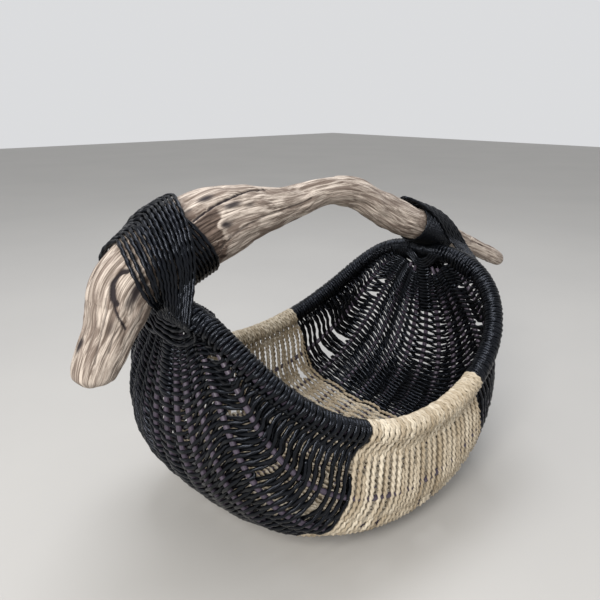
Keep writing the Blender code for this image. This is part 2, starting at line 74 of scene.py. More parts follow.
# %% Colours and nodes
def linear(code):
    """Linear RGBA from an sRGB hex code: the usual curve, piece by piece."""
    values = np.array([int(code[i:i + 2], 16) / 255 for i in (1, 3, 5)])
    values = np.where(values <= 0.04045, values / 12.92, ((values + 0.055) / 1.055) ** 2.4)
    return (*values.tolist(), 1.0)


def add_node(tree, kind, inputs=None, **settings):
    """One node: settings are its own choices, inputs are values or the sockets that feed it."""
    node = tree.nodes.new(kind)
    for name, value in settings.items():
        setattr(node, name, value)
    for name, value in (inputs or {}).items():
        if isinstance(value, bpy.types.NodeSocket):
            tree.links.new(value, node.inputs[name])
        else:
            node.inputs[name].default_value = value
    return node


def new_material(name):
    """An empty material with a Principled shader that is already wired to its output."""
    material = bpy.data.materials.new(name)
    material.use_nodes = True
    return material, material.node_tree, material.node_tree.nodes["Principled BSDF"]


def mix_colours(tree, share, low, high):
    """Socket of one colour fading into another, each a hex code or a socket, as the share goes
    from 0 to 1."""
    low, high = (linear(colour) if isinstance(colour, str) else colour for colour in (low, high))
    node = add_node(tree, "ShaderNodeMix", {0: share, 6: low, 7: high}, data_type="RGBA")
    return node.outputs[2]


def fade(tree, value, low, high):
    """Socket that rises smoothly from 0 to 1 while the value goes from low to high."""
    node = add_node(tree, "ShaderNodeMapRange", {"Value": value, "From Min": low, "From Max": high},
                    interpolation_type="SMOOTHSTEP")
    return node.outputs["Result"]


print("helpers ready")

# %% Floor
FLOOR_SIZE = 12.0
FLOOR_SPECKLES = 30.0
half = FLOOR_SIZE / 2
floor_corners = [(-half, -half, 0), (half, -half, 0), (half, half, 0), (-half, half, 0)]
floor_mesh = bpy.data.meshes.new("floor")
floor_mesh.from_pydata(floor_corners, [], [(0, 1, 2, 3)])
floor = bpy.data.objects.new("floor", floor_mesh)
bpy.context.scene.collection.objects.link(floor)
floor_material, floor_tree, floor_shader = new_material("pale_matt_floor")
speckle = add_node(floor_tree, "ShaderNodeTexNoise", {"Scale": FLOOR_SPECKLES, "Detail": 4.0})
floor_colour = mix_colours(floor_tree, speckle.outputs["Fac"], "#a5a3a0", "#aeaca8")
floor_tree.links.new(floor_colour, floor_shader.inputs["Base Color"])
floor_shader.inputs["Roughness"].default_value = 0.75
floor_mesh.materials.append(floor_material)
print("floor", FLOOR_SIZE, "m wide")

# %% Light
LIGHT_TARGET = (0, 0, 0.15)
SOFT_BOXES = (
    # name, place, width, power in watts, colour
    ("window_light", (-1.5, -0.9, 1.25), 0.7, 44.0, "#fffcf8"),
    ("ceiling_light", (0.2, 0.3, 2.1), 1.0, 26.0, "#f6f9ff"),
)

world = bpy.data.worlds.new("room")
world.use_nodes = True
background = world.node_tree.nodes["Background"]
background.inputs["Color"].default_value = linear("#f2f3f5")
background.inputs["Strength"].default_value = 0.80
bpy.context.scene.world = world
for light_name, light_place, width, power, light_colour in SOFT_BOXES:
    light = bpy.data.lights.new(light_name, "AREA")
    light.size = width
    light.energy = power
    light.color = linear(light_colour)[:3]
    soft_box = bpy.data.objects.new(light_name, light)
    soft_box.location = light_place
    away = Vector(light_place) - Vector(LIGHT_TARGET)
    soft_box.rotation_euler = away.to_track_quat("Z", "Y").to_euler()
    bpy.context.scene.collection.objects.link(soft_box)
print("room light and", len(SOFT_BOXES), "soft boxes")

# %% [markdown]
# ## The basket's surface
# Every cord and rib lies on one imagined surface, the belly. A point on it has two numbers. The
# turn runs from one lashing to the other, and the side runs from the near rim through the keel
# to the far rim. The same formula shapes the CAD part, so the weave sits where its walls are.

# %% Belly
HALF_LENGTH = 0.200
NEAR_HALF_WIDTH = 0.1705
FAR_HALF_WIDTH = 0.1614
SECTION_CENTRE_HEIGHT = 0.092
LEFT_JUNCTION_HEIGHT = 0.2735
RIGHT_JUNCTION_HEIGHT = 0.2640
FLAT_DEPTH = 0.004
SECTION_SWEEP = math.radians(111.6)
WIDTH_POWER, HEIGHT_POWER = 0.70, 0.56
KEEL_SPREAD_POWER, RIM_SPREAD_POWER = 0.99, 0.476
KEEL_DROP_POWER, RIM_DROP_POWER = 1.40, 1.451
KEEL_BULGE_SHARE, RIM_BULGE_SHARE = 0.96, 0.132
SMALL = 1e-4
UP = np.array([0.0, 0.0, 1.0])


def unit(vectors):
    """The same directions at length 1: each vector over its own length."""
    return vectors / np.linalg.norm(vectors, axis=-1, keepdims=True)


def square_to(ahead, vectors):
    """Directions square to the way ahead: each vector less its part along it, at length 1."""
    return unit(vectors - np.sum(vectors * ahead, axis=-1, keepdims=True) * ahead)


def round_circle(angles, first, second):
    """Points round a circle: the angle's cosine times one arm plus its sine times the other."""
    return np.cos(angles) * first + np.sin(angles) * second


def signed_power(value, power):
    """A power of a value's size, with the value's own sign."""
    return np.sign(value) * np.abs(value) ** power


def smooth(value):
    """0 below 0, 1 above 1 and an even curve between: 3 squares less 2 cubes."""
    value = np.clip(value, 0, 1)
    return value * value * (3 - 2 * value)


def belly(turn, side):
    """A superellipse section swept from lashing to lashing. The section's width and drop grow as
    powers of the sine of the turn, and the length bulges with the square of that sine."""
    turn, side = np.broadcast_arrays(np.asarray(turn, float), np.asarray(side, float))
    angle = np.abs(side) * SECTION_SWEEP
    half_width = np.where(side < 0, NEAR_HALF_WIDTH, FAR_HALF_WIDTH)
    section_y = np.sign(side) * half_width * np.abs(np.sin(angle)) ** WIDTH_POWER
    section_z = SECTION_CENTRE_HEIGHT * (1 - signed_power(np.cos(angle), HEIGHT_POWER))
    rim_share = side ** 2
    reach = np.sin(turn)
    spread = reach ** (KEEL_SPREAD_POWER * (1 - rim_share) + RIM_SPREAD_POWER * rim_share)
    drop = reach ** (KEEL_DROP_POWER * (1 - rim_share) + RIM_DROP_POWER * rim_share)
    bulge = KEEL_BULGE_SHARE * (1 - rim_share) + RIM_BULGE_SHARE * rim_share
    mean_height = (LEFT_JUNCTION_HEIGHT + RIGHT_JUNCTION_HEIGHT) / 2
    tilt = (LEFT_JUNCTION_HEIGHT - RIGHT_JUNCTION_HEIGHT) / 2
    junction = mean_height + tilt * np.cos(turn)
    x = -HALF_LENGTH * np.cos(turn) * (1 + bulge * reach ** 2)
    z = junction * (1 - drop) + section_z * drop - FLAT_DEPTH
    return np.stack([x, section_y * spread, np.maximum(z, 0)], axis=-1)


def belly_normal(turn, side):
    """Direction out of the belly: the cross product of short steps along the side and the turn."""
    along = belly(turn + SMALL, side) - belly(turn - SMALL, side)
    low = np.maximum(side - SMALL, -1)
    high = np.minimum(side + SMALL, 1)
    across = belly(turn, high) - belly(turn, low)
    return unit(np.cross(across, along))


print("belly, lowest point", belly(math.pi / 2, 0).round(4))

# %% Ribs' places
RIB_PLACE_SHARES = (0.0, 0.14, 0.28, 0.42, 0.57, 0.74)
RIB_START_TURN, RIB_START_SPREAD = 0.150, 0.045
ROD_RADIUS = 0.0070
RIB_RADIUS = 0.0030
RIB_DEPTH = 0.0073
SECTION_POINTS = 401


def arc_lengths(points):
    """Length along a path at each of its points: the running sum of the steps."""
    return np.concatenate([[0], np.cumsum(np.linalg.norm(np.diff(points, axis=0), axis=1))])


def side_at_share(share, hand):
    """Side at a share of the length from the keel to one rim, measured round the middle section."""
    sides = np.linspace(0, 1, SECTION_POINTS) * hand
    lengths = arc_lengths(belly(math.pi / 2, sides))
    return hand * float(np.interp(share * lengths[-1], lengths, np.abs(sides)))


rib_sides = [side_at_share(share, -1) for share in RIB_PLACE_SHARES[:0:-1]] + [0.0]
rib_sides += [side_at_share(share, 1) for share in RIB_PLACE_SHARES[1:]]
bars = np.array([-1.0] + rib_sides + [1.0])
print("ribs at sides", np.round(rib_sides, 3))

# %% [markdown]
# ## One twisted cord
# The weaver is cord of two plies, twisted so that the plies slant like the middle stroke of an S.
# A round tube with a bump would look like plastic hose, so each cord gets its real section, two
# lobes, which turn once in every lay as they go along the path. Eight points hold the two lobes.
# The UV map keeps metres round and along the cord, so that fibres can follow it.

# %% Cord paths and sections
PLY_CORNERS = 8
CORD_STEP = 0.0017
BLACK_LAY_TIMES, NATURAL_LAY_TIMES = 6.0, 2.8
PINCH_SHARE, HARD_LAY_PINCH = 0.1, 1.25


def spread_evenly(points, outward):
    """A path and its outward directions at equal lengths apart, by straight interpolation."""
    lengths = arc_lengths(points)
    places = np.linspace(0, lengths[-1], max(int(lengths[-1] / CORD_STEP), 3) + 1)
    columns = [np.interp(places, lengths, column) for column in (*points.T, *outward.T)]
    return places, np.stack(columns[:3], axis=-1), np.stack(columns[3:], axis=-1)


def round_arms(centres, outward, angles):
    """Directions square to a path, at angles that are measured from its outward direction."""
    ahead = unit(np.gradient(centres, axis=0))
    first = square_to(ahead, outward)
    return round_circle(angles[..., None], first[:, None], np.cross(ahead, first)[:, None])


def twisted_cord(points, outward, diameter, lay_times, start_angle=0.0):
    """Rings of an S-twisted two-ply cord: an oval section, pinched between the plies, turned
    backwards by one turn per lay, in the plane square to the path. A hard lay pinches it more."""
    lengths, centres, outward = spread_evenly(points, outward)
    corners = np.arange(PLY_CORNERS) * 2 * math.pi / PLY_CORNERS
    pinch = PINCH_SHARE + HARD_LAY_PINCH / lay_times
    section = 1 - pinch * (1 - np.cos(2 * corners)) / 2
    twist = start_angle - 2 * math.pi * lengths / (lay_times * diameter)
    arms = round_arms(centres, outward, corners + twist[:, None])
    rings = centres[:, None] + arms * (section * diameter / 2)[None, :, None]
    return rings, lengths, math.pi * diameter


def tube_faces(rings, lengths, girth, first):
    """Faces and UVs of one closed tube: a quad between neighbours, and a flat face at each end."""
    count, sides = rings.shape[:2]
    station, place = np.meshgrid(np.arange(count - 1), np.arange(sides), indexing="ij")
    low = first + station * sides + place
    high = first + station * sides + (place + 1) % sides
    quads = np.stack([low, high, high + sides, low + sides], axis=-1)
    left, right = place * girth / sides, (place + 1) * girth / sides
    near, far = lengths[station], lengths[station + 1]
    pairs = ((left, near), (right, near), (right, far), (left, far))
    quad_uv = np.stack([np.stack(pair, axis=-1) for pair in pairs], axis=2).reshape(-1, 2)
    start_cap = np.arange(sides)[::-1] + first
    end_cap = np.arange(sides) + first + (count - 1) * sides
    cap_uv = np.stack([np.arange(2 * sides) % sides * girth / sides,
                       np.repeat(lengths[[0, -1]], sides)], axis=-1)
    loops = np.concatenate([quads.reshape(-1), start_cap, end_cap])
    sizes = np.concatenate([np.full(quads.size // 4, 4), [sides, sides]])
    return loops, np.concatenate([quad_uv, cap_uv]), sizes


print("a cord has", PLY_CORNERS, "corners round it, and a ring every", CORD_STEP * 1000, "mm")


def mesh_piece(name, node, material, vertices, loops, uvs, sizes, tones):
    """A mesh object from whole arrays, in the place of a CAD node: corners, faces as runs of loops
    with their UVs and sizes, and a tone per corner."""
    mesh = bpy.data.meshes.new(name)
    mesh.vertices.add(len(vertices))
    mesh.vertices.foreach_set("co", np.asarray(vertices, np.float32).ravel())
    mesh.loops.add(len(loops))
    mesh.loops.foreach_set("vertex_index", np.asarray(loops, np.int32))
    mesh.polygons.add(len(sizes))
    starts = np.concatenate([[0], np.cumsum(sizes)[:-1]])
    mesh.polygons.foreach_set("loop_start", starts.astype(np.int32))
    mesh.polygons.foreach_set("use_smooth", np.ones(len(sizes), bool))
    mesh.update(calc_edges=True)
    mesh.uv_layers.new(name="Surface").data.foreach_set("uv", np.asarray(uvs, np.float32).ravel())
    tone = mesh.attributes.new("tone", "FLOAT", "POINT")
    tone.data.foreach_set("value", np.asarray(tones, np.float32))
    mesh.materials.append(material)
    piece = bpy.data.objects.new(name, mesh)
    bpy.context.scene.collection.objects.link(piece)
    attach(piece, "root")
    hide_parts(node)


def cord_piece(name, node, material, cords, tones):
    """One piece from many closed tubes, each with its own tone."""
    first, blocks = 0, []
    for (rings, lengths, girth), tone in zip(cords, tones):
        faces = tube_faces(rings, lengths, girth, first)
        count = rings.shape[0] * rings.shape[1]
        blocks.append((rings.reshape(-1, 3), *faces, np.full(count, tone)))
        first += count
    mesh_piece(name, node, material, *(np.concatenate(arrays) for arrays in zip(*blocks)))
    total = sum(float(lengths[-1]) for _, lengths, _ in cords)
    print(name, len(cords), "cords,", round(total, 2), "m,", first, "corners")


# %% [markdown]
# ## Cord, cane and their colours
# The black cord is twisted plant fibre dyed black: nearly black, with a faint cool sheen on the
# plies. The natural cord is undyed seagrass, cream to light brown from strand to strand. The cane
# of the ribs and the rim rod took the dye unevenly, a dull purple grey. Fibres run along a ply,
# about 0.15 mm wide, and are drawn about 0.4 mm wide so that they show. A picture of cord would
# repeat along a row, so noise that is stretched along the fibres draws them.

# %% Material helpers
def stretched_noise(tree, width, length, turn=0.0, **choices):
    """Streaks on the UV map, which is in metres: noise whose scale is one over a streak's width
    and one over its length, turned by an angle."""
    uv = add_node(tree, "ShaderNodeUVMap", uv_map="Surface")
    scale = (1 / width, 1 / length, 1.0)
    places = add_node(tree, "ShaderNodeMapping", {"Vector": uv.outputs["UV"], "Scale": scale,
                                                  "Rotation": (0.0, 0.0, turn)})
    noise = add_node(tree, "ShaderNodeTexNoise", {"Vector": places.outputs["Vector"], "Scale": 1.0,
                                                  **choices})
    return noise.outputs["Fac"]


def finish_shader(tree, shader, colour, height, strength, relief, roughness):
    """Colour, a relief in the shading from the streaks' height, and a roughness."""
    tree.links.new(colour, shader.inputs["Base Color"])
    raised = add_node(tree, "ShaderNodeBump", {"Height": height, "Strength": strength,
                                               "Distance": relief})
    tree.links.new(raised.outputs["Normal"], shader.inputs["Normal"])
    shader.inputs["Roughness"].default_value = roughness


print("material helpers ready")

# %% Fibre materials
FIBRE_WIDTH, FIBRE_LENGTH, FIBRE_RELIEF = 0.0004, 0.0060, 0.0004
FIBRE_BUMP = 0.5
STAINS_PER_METRE = 45.0


def fibre_material(name, dark, light, low_tone, high_tone, roughness, specular, lay_times):
    """Cord of plant fibre: streaks along the plies, a tone per strand and slow stains."""
    material, tree, shader = new_material(name)
    slant = math.atan(math.pi / lay_times)
    streaks = stretched_noise(tree, FIBRE_WIDTH, FIBRE_LENGTH, slant, Detail=3.0, Roughness=0.6)
    tone = add_node(tree, "ShaderNodeAttribute", attribute_name="tone")
    places = add_node(tree, "ShaderNodeTexCoord")
    stains = add_node(tree, "ShaderNodeTexNoise", {"Vector": places.outputs["Object"],
                                                   "Scale": STAINS_PER_METRE, "Detail": 3.0})
    base = mix_colours(tree, fade(tree, streaks, 0.30, 0.70), dark, light)
    strand = mix_colours(tree, tone.outputs["Fac"], low_tone, high_tone)
    even = mix_colours(tree, 0.5, base, strand)
    stained = mix_colours(tree, fade(tree, stains.outputs["Fac"], 0.35, 0.65), even, low_tone)
    softened = mix_colours(tree, 0.5, even, stained)
    finish_shader(tree, shader, softened, streaks, FIBRE_BUMP, FIBRE_RELIEF, roughness)
    shader.inputs["Specular IOR Level"].default_value = specular
    shader.inputs["Specular Tint"].default_value = linear("#e2ebff")
    return material


black_cord = fibre_material("dyed_black_cord", "#020203", "#07080b", "#020303", "#0b0d12",
                            0.22, 0.24, BLACK_LAY_TIMES)
natural_cord = fibre_material("natural_seagrass_cord", "#57493a", "#d8ccb5", "#8f7f66", "#e6dcc8",
                              0.66, 0.28, NATURAL_LAY_TIMES)
print("cord materials ready")

# %% Cane material
CANE_GRAIN_WIDTH, CANE_GRAIN_LENGTH, CANE_RELIEF = 0.0006, 0.0250, 0.0003
CANE_BUMP, CANE_ROUGHNESS = 0.3, 0.5


def cane_material():
    """Cane that took the dye unevenly: a smooth fade between two purple greys along its grain."""
    material, tree, shader = new_material("dyed_round_cane")
    grain = stretched_noise(tree, CANE_GRAIN_WIDTH, CANE_GRAIN_LENGTH, Detail=3.0)
    colour = mix_colours(tree, fade(tree, grain, 0.3, 0.7), "#2c2531", "#4e4553")
    finish_shader(tree, shader, colour, grain, CANE_BUMP, CANE_RELIEF, CANE_ROUGHNESS)
    return material


cane = cane_material()
print("cane material ready")

# %% [markdown]
# ## Ribs and rim rod
# Each rib is a whole cane, thinned at its ends where it is tucked under the lashing. The CAD ribs
# have few sides, and they show through the open weave, so smooth ones replace them. The rim rod
# is one cane bent to a closed saddle-shaped ring. A curve with a round bevel would do as well, but
# rings of points make bars and cords in the same way.

# %% Ribs
ROUND_SIDES = 14
RIB_POINTS = 110
RIB_TIP_SHARE, RIB_TIP_TURN = 0.66, 0.2
MIDDLE_TONE = 0.5


def round_bar(centres, outward, radii):
    """Rings of a round bar: circles square to the path, of the given radii."""
    angles = np.arange(ROUND_SIDES) * 2 * math.pi / ROUND_SIDES
    rings = centres[:, None] + round_arms(centres, outward, angles[None]) * radii[:, None, None]
    return rings, arc_lengths(centres), 2 * math.pi * float(np.mean(radii))


def rib_bar(side):
    """A rib under the belly, thinned towards its tips by a smooth step of the turn."""
    start = RIB_START_TURN + RIB_START_SPREAD * abs(side)
    turns = np.linspace(start, math.pi - start, RIB_POINTS)
    outward = belly_normal(turns, np.full(RIB_POINTS, side))
    full = smooth(np.minimum(turns - start, math.pi - start - turns) / RIB_TIP_TURN)
    radii = RIB_RADIUS * (RIB_TIP_SHARE + (1 - RIB_TIP_SHARE) * full)
    return round_bar(belly(turns, side) - RIB_DEPTH * outward, outward, radii)


near_names = [f"near_rib_{number}" for number in range(1, len(RIB_PLACE_SHARES))]
rib_names = near_names + ["keel_rib"] + [name.replace("near", "far") for name in near_names[::-1]]
for rib_name, rib_side in zip(rib_names, rib_sides):
    cord_piece(rib_name.replace("rib", "cane"), rib_name, cane, [rib_bar(rib_side)], [MIDDLE_TONE])

# %% Rim rod
HALF_RIM_POINTS = 181
even_shares = np.linspace(0, 1, HALF_RIM_POINTS)
half_turns = math.pi * (smooth(even_shares) + even_shares) / 2
rim_line = np.concatenate([belly(half_turns, -1), belly(half_turns[::-1], 1)[1:]])
rod = round_bar(rim_line, np.tile(UP, (len(rim_line), 1)), np.full(len(rim_line), ROD_RADIUS))
cord_piece("rim_cane", "rim_hoop", cane, [rod], [MIDDLE_TONE])

# %% [markdown]
# ## The woven rows
# A row goes from rim to rim, inside one rib and outside the next, and the next row does the
# opposite. So its depth under the belly is a cosine that changes sign at every rib. At each rim
# the cord goes over the rod and round it before it starts back, so every row ends in one turn
# round the rod, and the roll of the rim grows out of the wall without a seam. The belly is
# longer than the rim, so the weaver fills it with pairs of short rows, which turn back round a
# rib. Where they lie, the long rows stand wider apart. Rows could be drawn one by one, but with
# over a hundred and fifty of them one formula keeps them all even.

# %% Lengths along the rim
TAN_START_TURN = math.radians(66.5)
ROW_START_TURN = 0.10
RULER_POINTS = 4001
random = np.random.default_rng(7)
rim_places = math.pi * (1 - np.cos(math.pi * np.linspace(0, 1, RULER_POINTS))) / 2
rim_arcs = arc_lengths(belly(rim_places, -1))


def turn_at_arc(arc):
    """Turn of the rim at a length along it from the left junction."""
    return np.interp(arc, rim_arcs, rim_places)


def arc_at_turn(turn):
    """Length along the rim at a turn, the other way round."""
    return float(np.interp(turn, rim_places, rim_arcs))


print("rim length", rim_arcs[-1].round(3), "black part", round(arc_at_turn(TAN_START_TURN), 3))

# %% Drawn rows
WALL_LAG_TURN, LAG_KEEL_SIDE, LAG_RIM_SIDE = 0.10, 0.55, 0.5
KEEL_LEAD_TURN, LEAD_START_TURN = 0.11, 0.35
LEAD_WIDTH_SIDE, LEAD_END_SIDE, LEAD_BLEND_SIDE = 0.26, 0.85, 0.3
EAR_LEAD_TURN, EAR_FADE_TURN = 0.14, 0.35
DRAW_POWER = 1.5


def row_turns(rim_turn, side):
    """Turn of a black row at each side: its turn at the rim, less a lag in the walls, and more a
    lead at the keel and near the lashing, because the weaver packed the ends and drew the rows
    down. The lags and leads are sines, a bell curve and a fading exponential."""
    away = np.abs(side)
    lag = smooth(away / LAG_KEEL_SIDE) * smooth((1 - away) / LAG_RIM_SIDE)
    lead = np.exp(-(side / LEAD_WIDTH_SIDE) ** 2)
    lead = lead * np.clip((LEAD_END_SIDE - away) / LEAD_BLEND_SIDE, 0, 1)
    late = np.clip((rim_turn - LEAD_START_TURN) / (TAN_START_TURN - LEAD_START_TURN), 0, 1)
    wall = WALL_LAG_TURN * np.sin(math.pi * rim_turn / TAN_START_TURN)
    keel = KEEL_LEAD_TURN * np.sin(math.pi * late) ** DRAW_POWER
    ear = EAR_LEAD_TURN * np.exp(-(rim_turn - ROW_START_TURN) / EAR_FADE_TURN)
    ear = ear * (1 - away ** DRAW_POWER) * (1 - rim_turn / TAN_START_TURN)
    return rim_turn - wall * lag + keel * lead + ear


print("a black row that starts at turn 0.8 has its middle at", row_turns(0.8, 0.0).round(3))

# %% Zones
FULL_SIDE = 0.60


def between(ends, share):
    """The value at a share of the way between two ends."""
    return ends[0] + (ends[1] - ends[0]) * share


def at_end(turn, turned):
    """A turn measured from the right lashing instead of the left one, where turned is true."""
    return math.pi - turn if turned else turn


class Zone:
    """One colour of weave: where it starts and ends along the rim, its rows and its cord."""

    def __init__(self, first_arc, last_arc, rows, group, plain_side, black, turned, diameter):
        """Each group of long rows has two short ones with it, so the slots are all the rows."""
        self.first_arc, self.last_arc = first_arc, last_arc
        self.rows, self.group = rows, group
        self.slots = rows + 2 * (rows // group)
        self.plain_side = plain_side
        self.black, self.turned, self.diameter = black, turned, diameter

    def fullness(self, side):
        """1 where the short rows lie, 0 near the rims, with a smooth step between."""
        return smooth((self.plain_side - np.abs(side)) / (self.plain_side - FULL_SIDE))

    def turn(self, share, side):
        """Turn at a share of the zone: even along the rim, then drawn where the rows are black."""
        rim_turn = turn_at_arc(between((self.first_arc, self.last_arc), share))
        turn = row_turns(rim_turn, side) if self.black else rim_turn + 0 * side
        return rim_turn, at_end(turn, self.turned)


print("rows keep their places near the rims and make room inside side", FULL_SIDE)

# %% A woven path and its turn round the rod
CLIMB_SIDE = 0.86
SUNK_SHARE, RIB_REACH_SHARE = 0.075, 0.6
FLAT_TURN, FLAT_BLEND_TURN = 0.08, 0.10
ROD_TURN_SPAN, ROD_TURN_POINTS = math.radians(300.0), 44
INNER_SIDE = 0.95
bar_numbers = np.arange(len(bars))


def woven_line(zone, place, share, wave):
    """A cord at bar numbers, shares of the zone and depths: the belly's point, let in by the ribs'
    depth and by the wave times a share of a rib's radius and a quarter of a cord. At the rims it
    is the rod's radius and half a cord. Next to the lashing the ribs add nothing to the wave."""
    side = np.interp(place, bar_numbers, bars)
    rim_turn, turn = zone.turn(share, side)
    rim_share = smooth((np.abs(side) - CLIMB_SIDE) / (1 - CLIMB_SIDE))
    sunk = (RIB_DEPTH + zone.diameter * SUNK_SHARE) * (1 - rim_share)
    rib_share = RIB_REACH_SHARE * smooth((rim_turn - FLAT_TURN) / FLAT_BLEND_TURN)
    reach = (RIB_RADIUS * rib_share + zone.diameter / 4) * (1 - rim_share)
    reach = reach + (ROD_RADIUS + zone.diameter / 2) * rim_share
    outward = belly_normal(turn, side)
    return belly(turn, side) - (sunk + reach * wave)[:, None] * outward, outward


def rim_ahead(turn, hand):
    """Direction along one rim at a turn: a short step of the turn to either side."""
    return unit(belly(turn + SMALL, hand) - belly(turn - SMALL, hand))


def rod_turn(turn, hand, diameter, outer):
    """Most of a turn round the rim rod: a circle that starts on the wall's side of the rod and
    goes over its top, moving along the rod by a third of a cord."""
    centre, ahead = belly(turn, hand), rim_ahead(turn, hand)
    normal = square_to(ahead, belly_normal(turn, hand))
    away = np.cross(ahead, normal)
    away = away * np.sign(np.dot(away, centre - belly(turn, hand * INNER_SIDE)))
    angle = np.linspace(0, ROD_TURN_SPAN, ROD_TURN_POINTS)[1:, None]
    arm = round_circle(angle, normal if outer else -normal, away)
    drift = ahead * diameter / 3 * angle / ROD_TURN_SPAN
    return centre + (ROD_RADIUS + diameter / 2) * arm + drift, arm


def with_rod_turns(line, ends, diameter, outer):
    """A path from rim to rim, points and outward, with a turn round the rod joined on at each of
    its ends. Ends holds the belly's turns there, and outer whether the cord is outside the wall."""
    first, last = (rod_turn(turn, hand, diameter, outside)
                   for turn, hand, outside in zip(ends, (-1, 1), outer))
    return tuple(np.concatenate([start[::-1], middle, end])
                 for start, middle, end in zip(first, line, last))


print("a cord goes", round(math.degrees(ROD_TURN_SPAN)), "degrees round the rod")

# %% Long and short rows
ROW_POINTS, POINTS_PER_BAR, HAIRPIN_POINTS = 1200, 80, 16
ROW_SWING = 0.08
LONG_UNEVEN_SHARE, SHORT_UNEVEN_SHARE, EVEN_RIM_SIDE = 0.05, 0.09, 0.15
HAIRPIN_BARS = 0.16


def uneven_places(place, spread):
    """The weaver's unevenness: a random shift at every bar, run together between them."""
    return np.interp(place, bar_numbers, random.normal(0, spread, len(bars)))


def long_row(zone, number):
    """One row from rim to rim, with a turn round the rod at each end. Its share of the zone is its
    place among the long rows at the rims, and among all the rows where the short ones lie."""
    place = np.linspace(0, len(bars) - 1, ROW_POINTS)
    side = np.interp(place, bar_numbers, bars)
    slot = number + 2 * (number // zone.group) + 1
    full = zone.fullness(side)
    rim_share, full_share = (number + 0.5) / zone.rows, (slot + 0.5) / zone.slots
    spacing = 1 / (zone.rows + (zone.slots - zone.rows) * full)
    wave = np.cos(math.pi * (place + number % 2))
    uneven = uneven_places(place, LONG_UNEVEN_SHARE) * smooth((1 - np.abs(side)) / EVEN_RIM_SIDE)
    share = rim_share * (1 - full) + full_share * full + (uneven + ROW_SWING * full * wave) * spacing
    _, ends = zone.turn(rim_share, np.array([-1.0, 1.0]))
    line = woven_line(zone, place, share, wave)
    return with_rod_turns(line, ends, zone.diameter, wave[[0, -1]] < 0)


def short_pair(zone, number, first, last):
    """Two short rows in one cord: out over the ribs, half a circle round the last one and back."""
    out = np.linspace(first, last, POINTS_PER_BAR * (last - first))
    half = np.linspace(0, math.pi, HAIRPIN_POINTS)
    place = np.concatenate([out, last + HAIRPIN_BARS * np.sin(half[1:-1]), out[::-1],
                            first - HAIRPIN_BARS * np.sin(half[1:])])
    row = np.concatenate([0 * out, half[1:-1] / math.pi, 0 * out + 1, 1 - half[1:] / math.pi])
    start, end = math.cos(math.pi * first), math.cos(math.pi * last)
    wave = np.concatenate([np.cos(math.pi * out), end * np.cos(half[1:-1]),
                           -np.cos(math.pi * out[::-1]), -start * np.cos(half[1:])])
    slot = number + zone.group + 2 * (number // zone.group) + 1 + row
    full = zone.fullness(np.interp(place, bar_numbers, bars))
    rim_share, full_share = (number + zone.group) / zone.rows, (slot + 0.5) / zone.slots
    uneven = uneven_places(place, SHORT_UNEVEN_SHARE)
    share = rim_share * (1 - full) + full_share * full + (uneven + ROW_SWING * wave) / zone.slots
    return woven_line(zone, place, share, wave)


print("a long row has", ROW_POINTS, "points, and a short one", POINTS_PER_BAR, "from bar to bar")

# %% Rows of each colour
BLACK_DIAMETER, NATURAL_DIAMETER = 0.0048, 0.0053
BLACK_ROWS, BLACK_GROUP, BLACK_PLAIN_SIDE = 54, 6, 0.92
NATURAL_ROWS, NATURAL_GROUP, NATURAL_PLAIN_SIDE = 48, 4, 0.96
BLACK_SHORT_ENDS = ((1, 11), (2, 11), (1, 10), (2, 10))
NATURAL_SHORT_ENDS = ((1, 10), (2, 11), (2, 10), (1, 11))
DIAMETER_SPREAD = 0.03
FIRST_PLY_ANGLES = (0, 6.28)


def wound_piece(name, node, material, lines, diameter, lay_times, spread=0.0):
    """One piece of cords that follow paths with outward directions. Each cord draws its own
    thickness, where there is a spread, the angle of its first ply and its tone."""
    cords = []
    for points, outward in lines:
        own = diameter * (1 + random.normal(0, spread)) if spread else diameter
        cords.append(twisted_cord(points, outward, own, lay_times, random.uniform(*FIRST_PLY_ANGLES)))
    cord_piece(name, node, material, cords, random.uniform(0, 1, len(cords)))


def woven_rows(name, node, material, zone, lay_times, short_ends):
    """All the rows of one colour: every other long row in each of two pieces, and the short rows."""
    sets = {"even_rows": [], "odd_rows": [], "short_rows": []}
    for number in range(zone.rows):
        sets["odd_rows" if number % 2 else "even_rows"].append(long_row(zone, number))
    for number in range(0, zone.rows - 1, zone.group):
        first, last = short_ends[number // zone.group % len(short_ends)]
        sets["short_rows"].append(short_pair(zone, number, first, last))
    for part, lines in sets.items():
        wound_piece(f"{name}_{part}", node, material, lines, zone.diameter, lay_times, DIAMETER_SPREAD)


first_arc, border_arc = arc_at_turn(ROW_START_TURN), arc_at_turn(TAN_START_TURN)
last_arc = arc_at_turn(math.pi - TAN_START_TURN)
left_zone, right_zone = (Zone(first_arc, border_arc, BLACK_ROWS, BLACK_GROUP, BLACK_PLAIN_SIDE, True,
                              turned, BLACK_DIAMETER) for turned in (False, True))
middle_zone = Zone(border_arc, last_arc, NATURAL_ROWS, NATURAL_GROUP, NATURAL_PLAIN_SIDE, False,
                   False, NATURAL_DIAMETER)
woven_rows("left_black", "left_black_weave", black_cord, left_zone, BLACK_LAY_TIMES, BLACK_SHORT_ENDS)
woven_rows("natural", "natural_band_weave", natural_cord, middle_zone, NATURAL_LAY_TIMES,
           NATURAL_SHORT_ENDS)
woven_rows("right_black", "right_black_weave", black_cord, right_zone, BLACK_LAY_TIMES,
           BLACK_SHORT_ENDS)

# %% [markdown]
# ## The ears
# Next to each lashing the ribs are still too close to weave. There the cord is wound over the
# bare rod in close turns, and slings of cord go from rim to rim under the ribs' ends. Inside, a
# few threads run from both rims to the middle ribs, and a close coil binds those ribs together.
# A coil is an angle that grows evenly with the length along its middle line. A sling cord follows
# the belly, with its turn growing from one rim to the other.

